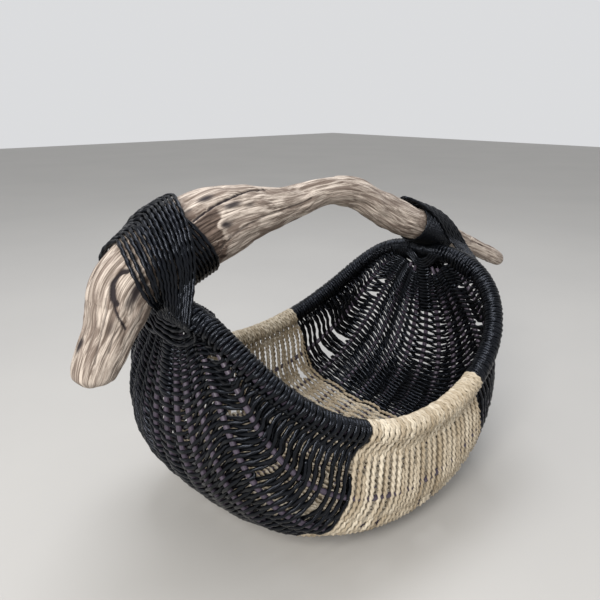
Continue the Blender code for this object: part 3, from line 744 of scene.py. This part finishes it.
# %% Ear cords
COIL_START_ARC, COIL_POINTS = 0.002, 50
EAR_CORDS, EAR_POINTS = 10, 300
EAR_LOW_ARCS, EAR_HIGH_ARCS = (0.003, 0.022), (0.016, 0.066)
EAR_DIP_TURN, EAR_CLIMB_SIDE = 0.13, 0.7
EAR_LIFT_TIMES = {-1: 0.9, 1: 0.2}
KEEL_TURNS, KEEL_HALF_WIDTH, KEEL_HALF_DEPTH = (0.12, 0.47), 0.0095, 0.0052
KEEL_POINTS, KEEL_SPACING_TIMES, KEEL_NEXT_SIDE = 2000, 0.95, 0.02
THREADS, THREAD_POINTS = 4, 150
THREAD_RIM_ARCS, THREAD_KEEL_TURNS = (0.018, 0.034), (0.10, 0.16)


def rod_coil(from_arc, to_arc, hand, turned):
    """A coil round the rim rod: centre plus radius times cosine and sine of the growing angle."""
    turns = (to_arc - from_arc) / BLACK_DIAMETER
    share = np.linspace(0, 1, int(turns * COIL_POINTS))
    centre = belly(at_end(turn_at_arc(between((from_arc, to_arc), share)), turned), hand)
    ahead = unit(np.gradient(centre, axis=0))
    up = square_to(ahead, UP)
    arm = round_circle(2 * math.pi * turns * share[:, None], up, np.cross(ahead, up))
    return centre + (ROD_RADIUS + BLACK_DIAMETER / 2) * arm, arm


def ear_cord(number, turned, hand):
    """A sling cord from the junction under the ribs' ends to the other rim: its turn grows across
    the basket. One set lies over the other, mirrored one."""
    share = number / (EAR_CORDS - 1)
    side = np.linspace(-1, 1, EAR_POINTS)
    low, high = turn_at_arc(between(EAR_LOW_ARCS, share)), turn_at_arc(between(EAR_HIGH_ARCS, share))
    turn = low + (high - low) * smooth((1 + side * hand) / 2)
    turn = at_end(turn + EAR_DIP_TURN * share * (1 - side ** 2), turned)
    outward = belly_normal(turn, side)
    climb = smooth((np.abs(side) - EAR_CLIMB_SIDE) / (1 - EAR_CLIMB_SIDE))
    rise = (ROD_RADIUS + BLACK_DIAMETER / 2) * climb + BLACK_DIAMETER * EAR_LIFT_TIMES[hand]
    line = (belly(turn, side) + rise[:, None] * outward, outward)
    return with_rod_turns(line, turn[[0, -1]], BLACK_DIAMETER, (True, True))


def keel_coil(turned):
    """A flat coil round the middle ribs: an oval's cosine and sine, moving down the keel."""
    turn = at_end(np.linspace(*KEEL_TURNS, KEEL_POINTS), turned)
    middle = 0.0 * turn
    normal = belly_normal(turn, middle)
    centre = belly(turn, middle) - RIB_DEPTH * normal
    turns = arc_lengths(centre)[-1] / (BLACK_DIAMETER * KEEL_SPACING_TIMES)
    angle = np.linspace(0, 2 * math.pi * turns, KEEL_POINTS)[:, None]
    across = unit(belly(turn, middle + KEEL_NEXT_SIDE) - belly(turn, middle - KEEL_NEXT_SIDE))
    arm = round_circle(angle, KEEL_HALF_WIDTH * across, KEEL_HALF_DEPTH * normal)
    return centre + arm, unit(arm)


def thread(number, turned, hand):
    """A thread on the inside, from the rim to the middle ribs: turn and side both change evenly."""
    share = number / (THREADS - 1)
    side = np.linspace(1, 0, THREAD_POINTS) * hand
    ends = (between(THREAD_KEEL_TURNS, share), turn_at_arc(between(THREAD_RIM_ARCS, share)))
    turn = at_end(between(ends, np.abs(side)), turned)
    normal = belly_normal(turn, side)
    inward = RIB_DEPTH + RIB_RADIUS + BLACK_DIAMETER / 2
    return belly(turn, side) - inward * normal, -normal


for ear, turned in (("left", False), ("right", True)):
    lines = [rod_coil(COIL_START_ARC, first_arc, hand, turned) for hand in (-1, 1)]
    lines += [ear_cord(number, turned, hand) for hand in (-1, 1) for number in range(EAR_CORDS)]
    lines += [thread(number, turned, hand) for hand in (-1, 1) for number in range(THREADS)]
    lines.append(keel_coil(turned))
    wound_piece(f"{ear}_ear_cords", f"{ear}_black_weave", black_cord, lines, BLACK_DIAMETER,
                BLACK_LAY_TIMES)

# %% [markdown]
# ## The driftwood
# The handle is a bleached branch, thick at the left and thin at the right. It is a tube whose
# radius follows a table of places along the branch. A branch could be sculpted too, but a table
# can be set against the outline in the photograph and changed by number. The tube gets a grid of
# points, which are then moved in and out.

# %% Driftwood path
DRIFTWOOD_ROWS_MM = (
    # x, y, z, radius
    (-281.3, 0.0, 207.7, 3.3), (-281.2, 0.0, 210.9, 10.4), (-280.6, 0.0, 213.5, 15.5),
    (-279.2, 0.0, 219.1, 19.8), (-273.1, 0.0, 232.7, 22.3), (-260.4, 0.0, 253.4, 24.6),
    (-251.0, 0.0, 273.7, 29.2), (-240.4, 0.0, 294.4, 32.0), (-208.0, 0.0, 313.4, 36.4),
    (-167.3, 0.0, 330.8, 37.0), (-139.6, 0.0, 338.2, 35.4), (-109.5, 0.0, 342.4, 30.9),
    (-83.8, 0.0, 343.3, 25.6), (-43.6, 0.0, 347.4, 19.8), (-8.1, 0.0, 353.3, 16.1),
    (17.2, 0.0, 355.2, 16.1), (38.2, 0.0, 353.5, 17.3), (64.9, 0.0, 345.5, 18.5),
    (97.4, 0.0, 329.5, 19.7), (125.2, 0.0, 316.1, 21.1), (159.9, 0.0, 302.5, 21.6),
    (204.3, 0.0, 288.2, 20.8), (244.8, -4.0, 269.8, 17.6), (289.2, -9.0, 253.3, 13.5),
    (334.4, -12.9, 233.9, 12.7), (354.0, -14.4, 225.3, 10.4), (361.4, -15.0, 223.2, 5.9),
    (365.8, -15.0, 222.5, 2.1),
)
DEPTH_SHARE = 0.95
BRANCH_STEPS = 30
SHORT_LENGTH = 0.002


def curve_through(rows, steps):
    """Rows on a smooth curve through the given rows (Catmull-Rom), with steps between each pair."""
    padded = np.concatenate([2 * rows[:1] - rows[1:2], rows, 2 * rows[-1:] - rows[-2:-1]])
    share = np.linspace(0, 1, steps, endpoint=False)[None, :, None]
    a, b, c, d = (padded[i:len(rows) - 1 + i][:, None] for i in range(4))
    curve = 0.5 * (2 * b + (c - a) * share + (2 * a - 5 * b + 4 * c - d) * share ** 2
                   + (3 * b - a - 3 * c + d) * share ** 3)
    return np.concatenate([curve.reshape(-1, rows.shape[1]), rows[-1:]])


branch = curve_through(np.array(DRIFTWOOD_ROWS_MM) / 1000, BRANCH_STEPS)
branch_lengths = arc_lengths(branch[:, :3])


def branch_rows(lengths):
    """Centre and radius of the branch at lengths along it, by straight interpolation."""
    return np.stack([np.interp(lengths, branch_lengths, column) for column in branch.T], axis=-1)


def branch_at(lengths):
    """Centre, radius, up and sideways directions of the branch at lengths along it. The way ahead
    is a short step along it to either side."""
    rows = branch_rows(lengths)
    ahead = branch_rows(lengths + SHORT_LENGTH) - branch_rows(lengths - SHORT_LENGTH)
    ahead = unit(ahead[..., :3])
    sideways = square_to(ahead, np.array([0.0, 1.0, 0.0]))
    return rows[..., :3], rows[..., 3], np.cross(ahead, sideways), sideways


print("branch length", branch_lengths[-1].round(3))


# %% Noise on arrays
LATTICE_VALUES, LATTICE_SHIFT = 32, 1000


def lattice_noise(points, size, seed):
    """Smooth noise from -1 to 1: random values on a lattice of the given size, blended between."""
    values = np.random.default_rng(seed).uniform(-1, 1, [LATTICE_VALUES] * 3)
    places = np.asarray(points) / size + LATTICE_SHIFT
    corner = np.floor(places).astype(int)
    share = smooth(places - corner)
    total = 0
    for offset in np.ndindex(2, 2, 2):
        weight = np.prod(np.where(offset, share, 1 - share), axis=-1)
        at = (corner + offset) % LATTICE_VALUES
        total = total + weight * values[at[..., 0], at[..., 1], at[..., 2]]
    return total


print("noise repeats after", LATTICE_VALUES, "of its sizes")

# %% Grid on the bark
ALONG, AROUND = 510, 192
END_CROWDING_SHARE = 0.12
WARP_HEIGHT, WARP_SIZE, WARP_SEED = 0.004, 0.030, 11
BARK_NOISES = {
    # size in m, seed, and a share: the noise is drawn out along the branch by one over it
    "lumps": (0.016, 3, 0.55), "small lumps": (0.006, 4, 0.30), "grain": (0.0022, 5, 0.07),
    "furrows": (0.0050, 6, 0.09), "wander": (0.004, 8, 1.0), "patches": (0.005, 9, 0.5),
    "rot": (0.003, 10, 1.0),
}
even_shares = np.linspace(0, 1, ALONG)
crowded_shares = (1 - np.cos(math.pi * even_shares)) / 2
place_along = branch_lengths[-1] * between((even_shares, crowded_shares), END_CROWDING_SHARE)
centre, radius, up, sideways = branch_at(place_along)
angle = np.arange(AROUND) * 2 * math.pi / AROUND
around = np.repeat(angle[None], ALONG, axis=0)
along = np.repeat(place_along[:, None], AROUND, axis=1)
along_mm = along * 1000
bark = np.stack([np.cos(angle) * radius[:, None], np.sin(angle) * radius[:, None], along], axis=-1)
warp = WARP_HEIGHT * lattice_noise(bark, WARP_SIZE, WARP_SEED)
bark = bark + np.stack([warp, -warp, warp], axis=-1)


def bark_noise(name):
    """One noise of the table on the bark, drawn out along the branch by one over its share."""
    size, seed, length_share = BARK_NOISES[name]
    return lattice_noise(bark * (1, 1, length_share), size, seed)


def radius_mm(place):
    """Radius of the branch in mm at a place along it in mm."""
    return np.interp(place / 1000, branch_lengths, branch[:, 3]) * 1000


def across_mm(degrees, reach):
    """Distance in mm round the bark, the short way, from a turn in degrees to every point."""
    return ((around - math.radians(degrees) + math.pi) % (2 * math.pi) - math.pi) * reach


print("bark grid", ALONG, "by", AROUND)

# %% [markdown]
# ## Cracks, stains and relief
# Dry cracks run along the grain, a deep hollow lies where a side branch broke off, and rot has
# turned the wood brown next to the left lashing. Each mark is a line or an oval with a place along
# the branch and a turn round it. Distances on the bark turn the marks into depths and tones, so
# the cracks are in the mesh itself and cast real shadows. The deeper cracks also get painted shade:
# their tone darkens as they deepen.

# %% Cracks
# cracks: depth and half width in mm, then places as (length along in mm, degrees round from the top)
CRACKS = (
    (3.2, 1.3, (172, -50), (183, -47), (195, -44), (218, -39), (241, -27), (262, -22)),
    (1.5, 1.0, (184, -112), (200, -100), (225, -93), (255, -86), (285, -84), (320, -80)),
    (3.2, 2.2, (101, -50), (98, -43), (92, -42), (86, -50), (82, -60)),
    (2.4, 1.2, (81, -56), (75, -60), (70, -68), (66, -78), (61, -92)),
    (1.6, 1.2, (88, 8), (97, 3), (106, 1)),
    (1.4, 1.1, (84, -40), (70, -46), (54, -45), (38, -50), (24, -60)),
    (1.2, 0.9, (76, -22), (60, -28), (44, -24), (30, -30)),
    (1.3, 1.0, (62, -75), (50, -72), (36, -80)),
    (1.6, 1.4, (58, 60), (90, 70), (130, 66)),
    (1.5, 1.2, (190, 150), (240, 160), (300, 155), (340, 165)),
    (1.3, 1.0, (210, 60), (260, 52), (330, 58), (380, 50)),
    (1.4, 1.1, (600, -30), (625, -38), (645, -34)),
    (1.4, 1.2, (640, -70), (655, -60), (672, -66)),
)
SHORT_CRACKS, SHORT_CRACK_MARGIN = 90, 20
SHORT_CRACK_LENGTHS, SHORT_CRACK_DEPTHS = (8, 34), (0.4, 1.1)
SHORT_CRACK_DEGREES, SHORT_CRACK_HALF_WIDTH = 5, 0.7
WANDER_SHARE = 0.6
wander = 1 + WANDER_SHARE * bark_noise("wander")


def crack_distance(places):
    """Distance on the bark from each point to a line of places, in mm: the least of its parts."""
    best = np.full(along_mm.shape, 1e3)
    for (a_along, a_turn), (b_along, b_turn) in zip(places[:-1], places[1:]):
        reach = radius_mm((a_along + b_along) / 2)
        ahead, across = b_along - a_along, math.radians(b_turn - a_turn) * reach
        from_along, from_across = along_mm - a_along, across_mm(a_turn, reach)
        share = (from_along * ahead + from_across * across) / (ahead ** 2 + across ** 2)
        share = np.clip(share, 0, 1)
        best = np.minimum(best, np.hypot(from_along - share * ahead, from_across - share * across))
    return best


def crack_depth(depth, half_width, places):
    """Depth of one crack everywhere: a bell curve of the distance, as wide as it wanders."""
    return depth * np.exp(-(crack_distance(places) / (half_width * wander)) ** 2)


dug = np.zeros(along_mm.shape)
for depth, half_width, *places in CRACKS:
    dug = np.maximum(dug, crack_depth(depth, half_width, places))
last_start = branch_lengths[-1] * 1000 - SHORT_CRACK_MARGIN
for start in random.uniform((SHORT_CRACK_MARGIN, -180), (last_start, 180), (SHORT_CRACKS, 2)):
    end = (start[0] + random.uniform(*SHORT_CRACK_LENGTHS),
           start[1] + random.normal(0, SHORT_CRACK_DEGREES))
    depth = random.uniform(*SHORT_CRACK_DEPTHS)
    dug = np.maximum(dug, crack_depth(depth, SHORT_CRACK_HALF_WIDTH, (start, end)))
print("deepest crack", dug.max().round(2), "mm")

# %% Stains
# stains: strength, length along, degrees round, half length, half width in mm; below 0 is brown
STAINS = (
    (1.0, 192, -28, 9, 4), (0.9, 212, -53, 9, 3.5), (1.0, 196, -78, 8, 4.5), (0.7, 195, -98, 6, 3),
    (0.8, 174, -33, 6, 4), (0.9, 95, -82, 7, 6), (0.7, 84, -78, 6, 5), (1.0, 33, 0, 6, 5),
    (-1.5, 176, -88, 15, 32), (-1.2, 183, -112, 9, 20), (-0.9, 183, -55, 12, 8), (0.5, 60, -60, 9, 4),
    (0.6, 232, -60, 7, 3), (0.5, 160, 100, 18, 9), (0.6, 240, 120, 12, 6), (0.5, 90, 90, 12, 8),
    (0.5, 420, 100, 20, 6), (-0.4, 655, -50, 16, 8), (-0.5, 690, -20, 10, 9), (0.4, 520, 170, 30, 8),
)
STAIN_MIDDLE, STAIN_FALL, STAIN_RAGGED, STAIN_SLOPE, STAIN_OVERLAP = 1.15, 0.75, 0.35, 0.8, 0.7
patchy = 0.5 + 0.9 * bark_noise("patches")


def stain_cover(at_along, at_turn, half_length, half_width):
    """Cover of one oval stain everywhere: a smooth step down from its middle, ragged by noise."""
    across = across_mm(at_turn, radius_mm(at_along))
    gap = np.hypot((along_mm - at_along) / half_length, across / half_width)
    return smooth((STAIN_MIDDLE - STAIN_FALL * gap + STAIN_RAGGED * patchy) * STAIN_SLOPE)


stains_and_crack_shade = np.zeros(along_mm.shape)
for strength, *place in STAINS:
    stains_and_crack_shade = stains_and_crack_shade + strength * stain_cover(*place) * (1 - np.abs(stains_and_crack_shade) * STAIN_OVERLAP)
print("stains", len(STAINS))

# %% Relief of the wood
LUMP_HEIGHT, SMALL_LUMP_HEIGHT, GRAIN_HEIGHT = 0.0018, 0.0007, 0.0003
FURROW_DEPTH, FURROW_WIDTH_SHARE = 0.0027, 0.35
ROT_DEPTH, ROT_HEIGHT = 0.0010, 0.0012
SINK, HIGHEST_LUMP = 0.0006, 0.0010
END_BLEND = 0.03
# painted shade in the cracks: from 0.3 mm deep, the tone darkens by half the depth beyond 0.2 mm, up
# to 1.1
SHADED_CRACK_MM, CRACK_SHADE_START_MM, DARKEST_CRACK_SHADE = 0.3, 0.2, 1.1
lumps = LUMP_HEIGHT * bark_noise("lumps") + SMALL_LUMP_HEIGHT * bark_noise("small lumps")
grain = GRAIN_HEIGHT * bark_noise("grain")
furrows = np.clip(FURROW_WIDTH_SHARE - np.abs(bark_noise("furrows")), 0, 1)
rot = np.clip(-stains_and_crack_shade, 0, 1)
body = smooth(np.minimum(place_along, branch_lengths[-1] - place_along) / END_BLEND)[:, None]
height = lumps + grain - FURROW_DEPTH * furrows - dug / 1000
height = height - ROT_DEPTH * rot + ROT_HEIGHT * rot * bark_noise("rot")
reach = radius[:, None] + np.minimum(height - SINK, HIGHEST_LUMP) * body
arm = round_circle(angle[:, None], up[:, None], DEPTH_SHARE * sideways[:, None])
surface = centre[:, None] + reach[..., None] * arm
# Painted shade inside the cracks: where a crack is deeper than 0.3 mm, its tone darkens with its
# depth.
painted_crack_shade = np.maximum(stains_and_crack_shade, np.clip((dug - CRACK_SHADE_START_MM) / 2, 0, DARKEST_CRACK_SHADE))
stains_and_crack_shade = np.where(dug > SHADED_CRACK_MM, painted_crack_shade, stains_and_crack_shade)
print("relief from", height.min().round(4), "to", height.max().round(4), "m")

# %% [markdown]
# ## The wood's colours
# Sun and water bleached the wood to a pale grey brown, with dark lines along its grain. The tone
# that was worked out with the cracks picks the dark stains, the painted shade inside the deeper
# cracks and the brown rot. Noise stretched along the branch draws the grain, because it follows
# the bends as the UV map does.

# %% Wood material
WOOD_GRAIN_WIDTH, WOOD_GRAIN_LENGTH, WOOD_RELIEF = 0.0016, 0.040, 0.0008
CLOUD_WIDTH, CLOUD_LENGTH = 0.012, 0.045
WOOD_BUMP, WOOD_ROUGHNESS = 0.6, 0.85


def wood_material():
    """Bleached wood: pale clouds with dark lines of grain, brown rot where the tone is below 0, and
    dark stains and painted shade inside the deeper cracks where it is above 0."""
    material, tree, shader = new_material("bleached_driftwood")
    grain = stretched_noise(tree, WOOD_GRAIN_WIDTH, WOOD_GRAIN_LENGTH, Detail=7.0, Roughness=0.62,
                            Distortion=0.5)
    cloud = stretched_noise(tree, CLOUD_WIDTH, CLOUD_LENGTH, Detail=5.0, Roughness=0.65,
                            Distortion=0.8)
    tone = add_node(tree, "ShaderNodeAttribute", attribute_name="tone").outputs["Fac"]
    minus = add_node(tree, "ShaderNodeMath", {0: tone, 1: -1.0}, operation="MULTIPLY")
    pale = mix_colours(tree, fade(tree, cloud, 0.38, 0.62), "#75685f", "#c6baae")
    lined = mix_colours(tree, fade(tree, grain, 0.34, 0.56), "#5a4e45", pale)
    brown = mix_colours(tree, fade(tree, grain, 0.35, 0.65), "#2b211c", "#6a5c53")
    browned = mix_colours(tree, fade(tree, minus.outputs["Value"], 0.25, 0.75), lined, brown)
    # dark where the tone is above 0: the dark stains, and painted shade inside the deeper cracks
    colour = mix_colours(tree, fade(tree, tone, 0.05, 1.00), browned, "#2b2628")
    finish_shader(tree, shader, colour, grain, WOOD_BUMP, WOOD_RELIEF, WOOD_ROUGHNESS)
    shader.inputs["Specular IOR Level"].default_value = 0.2
    return material


wood = wood_material()
print("wood material ready")

# %% Wood mesh
surface, stains_and_crack_shade = surface[:, ::-1], stains_and_crack_shade[:, ::-1]
wood_faces = tube_faces(surface, place_along, 2 * math.pi * float(radius.max()), 0)
mesh_piece("driftwood_branch", "driftwood_handle", wood, surface.reshape(-1, 3), *wood_faces,
           stains_and_crack_shade.reshape(-1))
print("driftwood", ALONG * AROUND, "corners")

# %% [markdown]
# ## The lashings
# Black cord holds the driftwood on the rim. At the left it is wound round the wood, and then it
# fans from the top of the wood down to the rim on both sides, strand beside strand. At the right
# thin cord is wound round the wood, and a strap of a few cords runs slantwise over it. A strand
# starts on the ridge of the wood and goes round its side, moving evenly along it. It leaves the wood
# at a known place and runs straight to the rim. A few rounds of smoothing draw the bend tight. A
# simulated rope would do the same, but each run of it would end in other places.

# %% Feet under the rim
LASHING_DIAMETER, LASHING_LAY_TIMES = 0.0044, 5.0
FOOT_SPAN, FOOT_POINTS, FOOT_LIFT_TIMES = math.pi * 1.1, 16, 1.5


def rim_turn_at_width(width, hand, end):
    """Turn where the rim is a given width from the middle plane: the rim's formula solved back."""
    half_width = NEAR_HALF_WIDTH if hand < 0 else FAR_HALF_WIDTH
    full = half_width * math.sin(SECTION_SWEEP) ** WIDTH_POWER
    return at_end(math.asin((width / full) ** (1 / RIM_SPREAD_POWER)), end > 0)


def foot(width, hand, end):
    """A little more than half a turn of cord under the rim rod: part of a circle square to it."""
    turn = rim_turn_at_width(width, hand, end)
    ahead = rim_ahead(turn, hand)
    out = square_to(ahead, np.array([float(end), 0.0, 0.0]))
    down = square_to(out, square_to(ahead, -UP))
    arm = round_circle(np.linspace(0.0, FOOT_SPAN, FOOT_POINTS)[:, None], out, down)
    return belly(turn, hand) + (ROD_RADIUS + LASHING_DIAMETER * FOOT_LIFT_TIMES) * arm


print("a foot goes", round(math.degrees(FOOT_SPAN)), "degrees round the rod")

# %% Strands over the wood
PULLING_ROUNDS = 6
STRAND_POINTS, STRAND_STEPS = 44, 3
LINE_STRIDE = 4


def out_of_wood(points, stand_off):
    """Points moved straight away from the branch's middle line until they clear the wood."""
    line = branch[::LINE_STRIDE]
    away = points[..., None, :] - line[:, :3]
    distance = np.linalg.norm(away, axis=-1)
    index = np.argmin(distance - line[:, 3], axis=-1)
    nearest = np.take_along_axis(distance, index[..., None], axis=-1)[..., 0]
    direction = np.take_along_axis(away, index[..., None, None], axis=-2)[..., 0, :]
    short = np.maximum(line[index, 3] + stand_off - nearest, 0)
    return points + direction / nearest[..., None] * short[..., None]


def pulled_strands(lengths, leaving, feet, hand, last_angle, stand_off):
    """Strands from the ridge of the wood, round one side of it to where they leave it, and straight
    to their feet: arrays of strands by points."""
    ends = np.array([one[0] for one in feet])
    share = np.linspace(0, 1, STRAND_POINTS // 2)[None]
    centre, radius, up, sideways = branch_at(between((lengths[:, None], leaving[:, None]), share))
    arm = round_circle((last_angle * share * hand)[..., None], up, sideways)
    over = centre + (radius + stand_off)[..., None] * arm
    share = np.linspace(0, 1, STRAND_POINTS - STRAND_POINTS // 2 + 1)[None, 1:, None]
    points = np.concatenate([over, over[:, -1:] * (1 - share) + ends[:, None] * share], axis=1)
    for _ in range(PULLING_ROUNDS):
        points[:, 1:-1] = (points[:, 2:] + points[:, :-2]) / 2
        points[:, 1:-1] = out_of_wood(points[:, 1:-1], stand_off)
    return points


def lashing(name, node, halves):
    """One piece from the near and far halves of its strands: one foot, over the wood and the other
    foot, on a smooth curve. Outward is away from the nearest place on the wood's middle line."""
    (near_strands, near_feet), (far_strands, far_feet) = halves
    line = branch[::LINE_STRIDE, :3]
    lines = []
    for near, near_foot, far, far_foot in zip(near_strands, near_feet, far_strands, far_feet):
        points = np.concatenate([near_foot[::-1], near[::-1][1:], far[1:-1], far_foot])
        points = curve_through(points, STRAND_STEPS)
        nearest = np.argmin(np.linalg.norm(points[:, None] - line, axis=-1), axis=1)
        lines.append((points, unit(points - line[nearest])))
    wound_piece(name, node, black_cord, lines, LASHING_DIAMETER, LASHING_LAY_TIMES)


print("each half of a strand has", STRAND_POINTS, "points, smoothed", PULLING_ROUNDS, "times")

# %% Turns round the wood
WRAP_POINTS = 60


def wood_turns(name, node, first_length, spacing, turns, diameter, tilt):
    """A coil round the wood: the length grows evenly with the angle, and the rings lean by a tilt."""
    share = np.linspace(0, 1, int(turns * WRAP_POINTS))
    angle = math.pi + 2 * math.pi * turns * share
    length = first_length + spacing * turns * share - tilt * np.cos(angle)
    centre, radius, up, sideways = branch_at(length)
    arm = round_circle(angle[:, None], up, sideways)
    points = centre + (radius + diameter / 2)[:, None] * arm
    cord_piece(name, node, black_cord, [twisted_cord(points, arm, diameter, BLACK_LAY_TIMES)],
               [MIDDLE_TONE])


print("a turn round the wood has", WRAP_POINTS, "points")

# %% Left lashing
FAN_STRANDS = 15
FAN_LENGTHS, FAN_LEAVING = (0.1135, 0.1745), (0.0975, 0.1430)
FAN_ANGLE = math.radians(108.0)
FAN_OVER_START, FAN_OVER_BLEND = 0.132, 0.02
FAN_WIDTHS, FAN_LEAST_WIDTH, FAN_WIDTH_POWER = (0.004, 0.056), 0.003, 0.8
FAN_WIDTH_SPREAD, FAN_LEAVING_SPREAD = 0.0008, 0.0012
STRAY_SHIFT = np.array([0.0075, 0.0050])
WRAP_SPACING, WRAP_TURNS, WRAP_LAST_LENGTH, WRAP_TILT = 0.0045, 8, 0.1690, 0.0095
fan_share = np.linspace(0, 1, FAN_STRANDS)
fan_lengths = between(FAN_LENGTHS, fan_share)
fan_leaving = between(FAN_LEAVING, fan_share)
fan_leaving[:2] = fan_leaving[:2] - STRAY_SHIFT
over_wrap = smooth((fan_lengths - FAN_OVER_START) / FAN_OVER_BLEND)
fan_stand_off = (LASHING_DIAMETER / 2 + LASHING_DIAMETER * over_wrap)[:, None]
fan_halves = []
for hand in (-1, 1):
    widths = between(FAN_WIDTHS, fan_share ** FAN_WIDTH_POWER)
    widths = np.maximum(widths + random.normal(0, FAN_WIDTH_SPREAD, FAN_STRANDS), FAN_LEAST_WIDTH)
    leaving = fan_leaving + random.normal(0, FAN_LEAVING_SPREAD, FAN_STRANDS)
    feet = [foot(width, hand, -1) for width in widths]
    strands = pulled_strands(fan_lengths, leaving, feet, hand, FAN_ANGLE, fan_stand_off)
    fan_halves.append((strands, feet))
lashing("left_fan_strands", "left_fan_lashing", fan_halves)
wood_turns("left_wood_turns", "left_handle_wrap", WRAP_LAST_LENGTH - WRAP_SPACING * (WRAP_TURNS - 1),
           WRAP_SPACING, WRAP_TURNS, LASHING_DIAMETER, WRAP_TILT)

# %% Right lashing
STRAP_STRANDS = 7
STRAP_LENGTHS, STRAP_ANGLE = (0.497, 0.535), math.radians(100.0)
STRAP_SIDES = (
    # hand, widths at the rim, lengths along the branch where the strands leave it
    (-1, (0.052, 0.080), (0.570, 0.618)),
    (1, (0.024, 0.046), (0.512, 0.548)),
)
THIN_DIAMETER, THIN_SPACING, THIN_TURNS, THIN_FIRST_LENGTH = 0.0031, 0.0033, 22, 0.524
strap_share = np.linspace(0, 1, STRAP_STRANDS)
strap_halves = []
for hand, widths, leaving in STRAP_SIDES:
    feet = [foot(width, hand, 1) for width in between(widths, strap_share)]
    strands = pulled_strands(between(STRAP_LENGTHS, strap_share), between(leaving, strap_share), feet,
                             hand, STRAP_ANGLE, LASHING_DIAMETER / 2 + THIN_DIAMETER)
    strap_halves.append((strands, feet))
lashing("right_strap_strands", "right_strap_lashing", strap_halves)
wood_turns("right_wood_turns", "right_handle_wrap", THIN_FIRST_LENGTH, THIN_SPACING, THIN_TURNS,
           THIN_DIAMETER, 0.0)
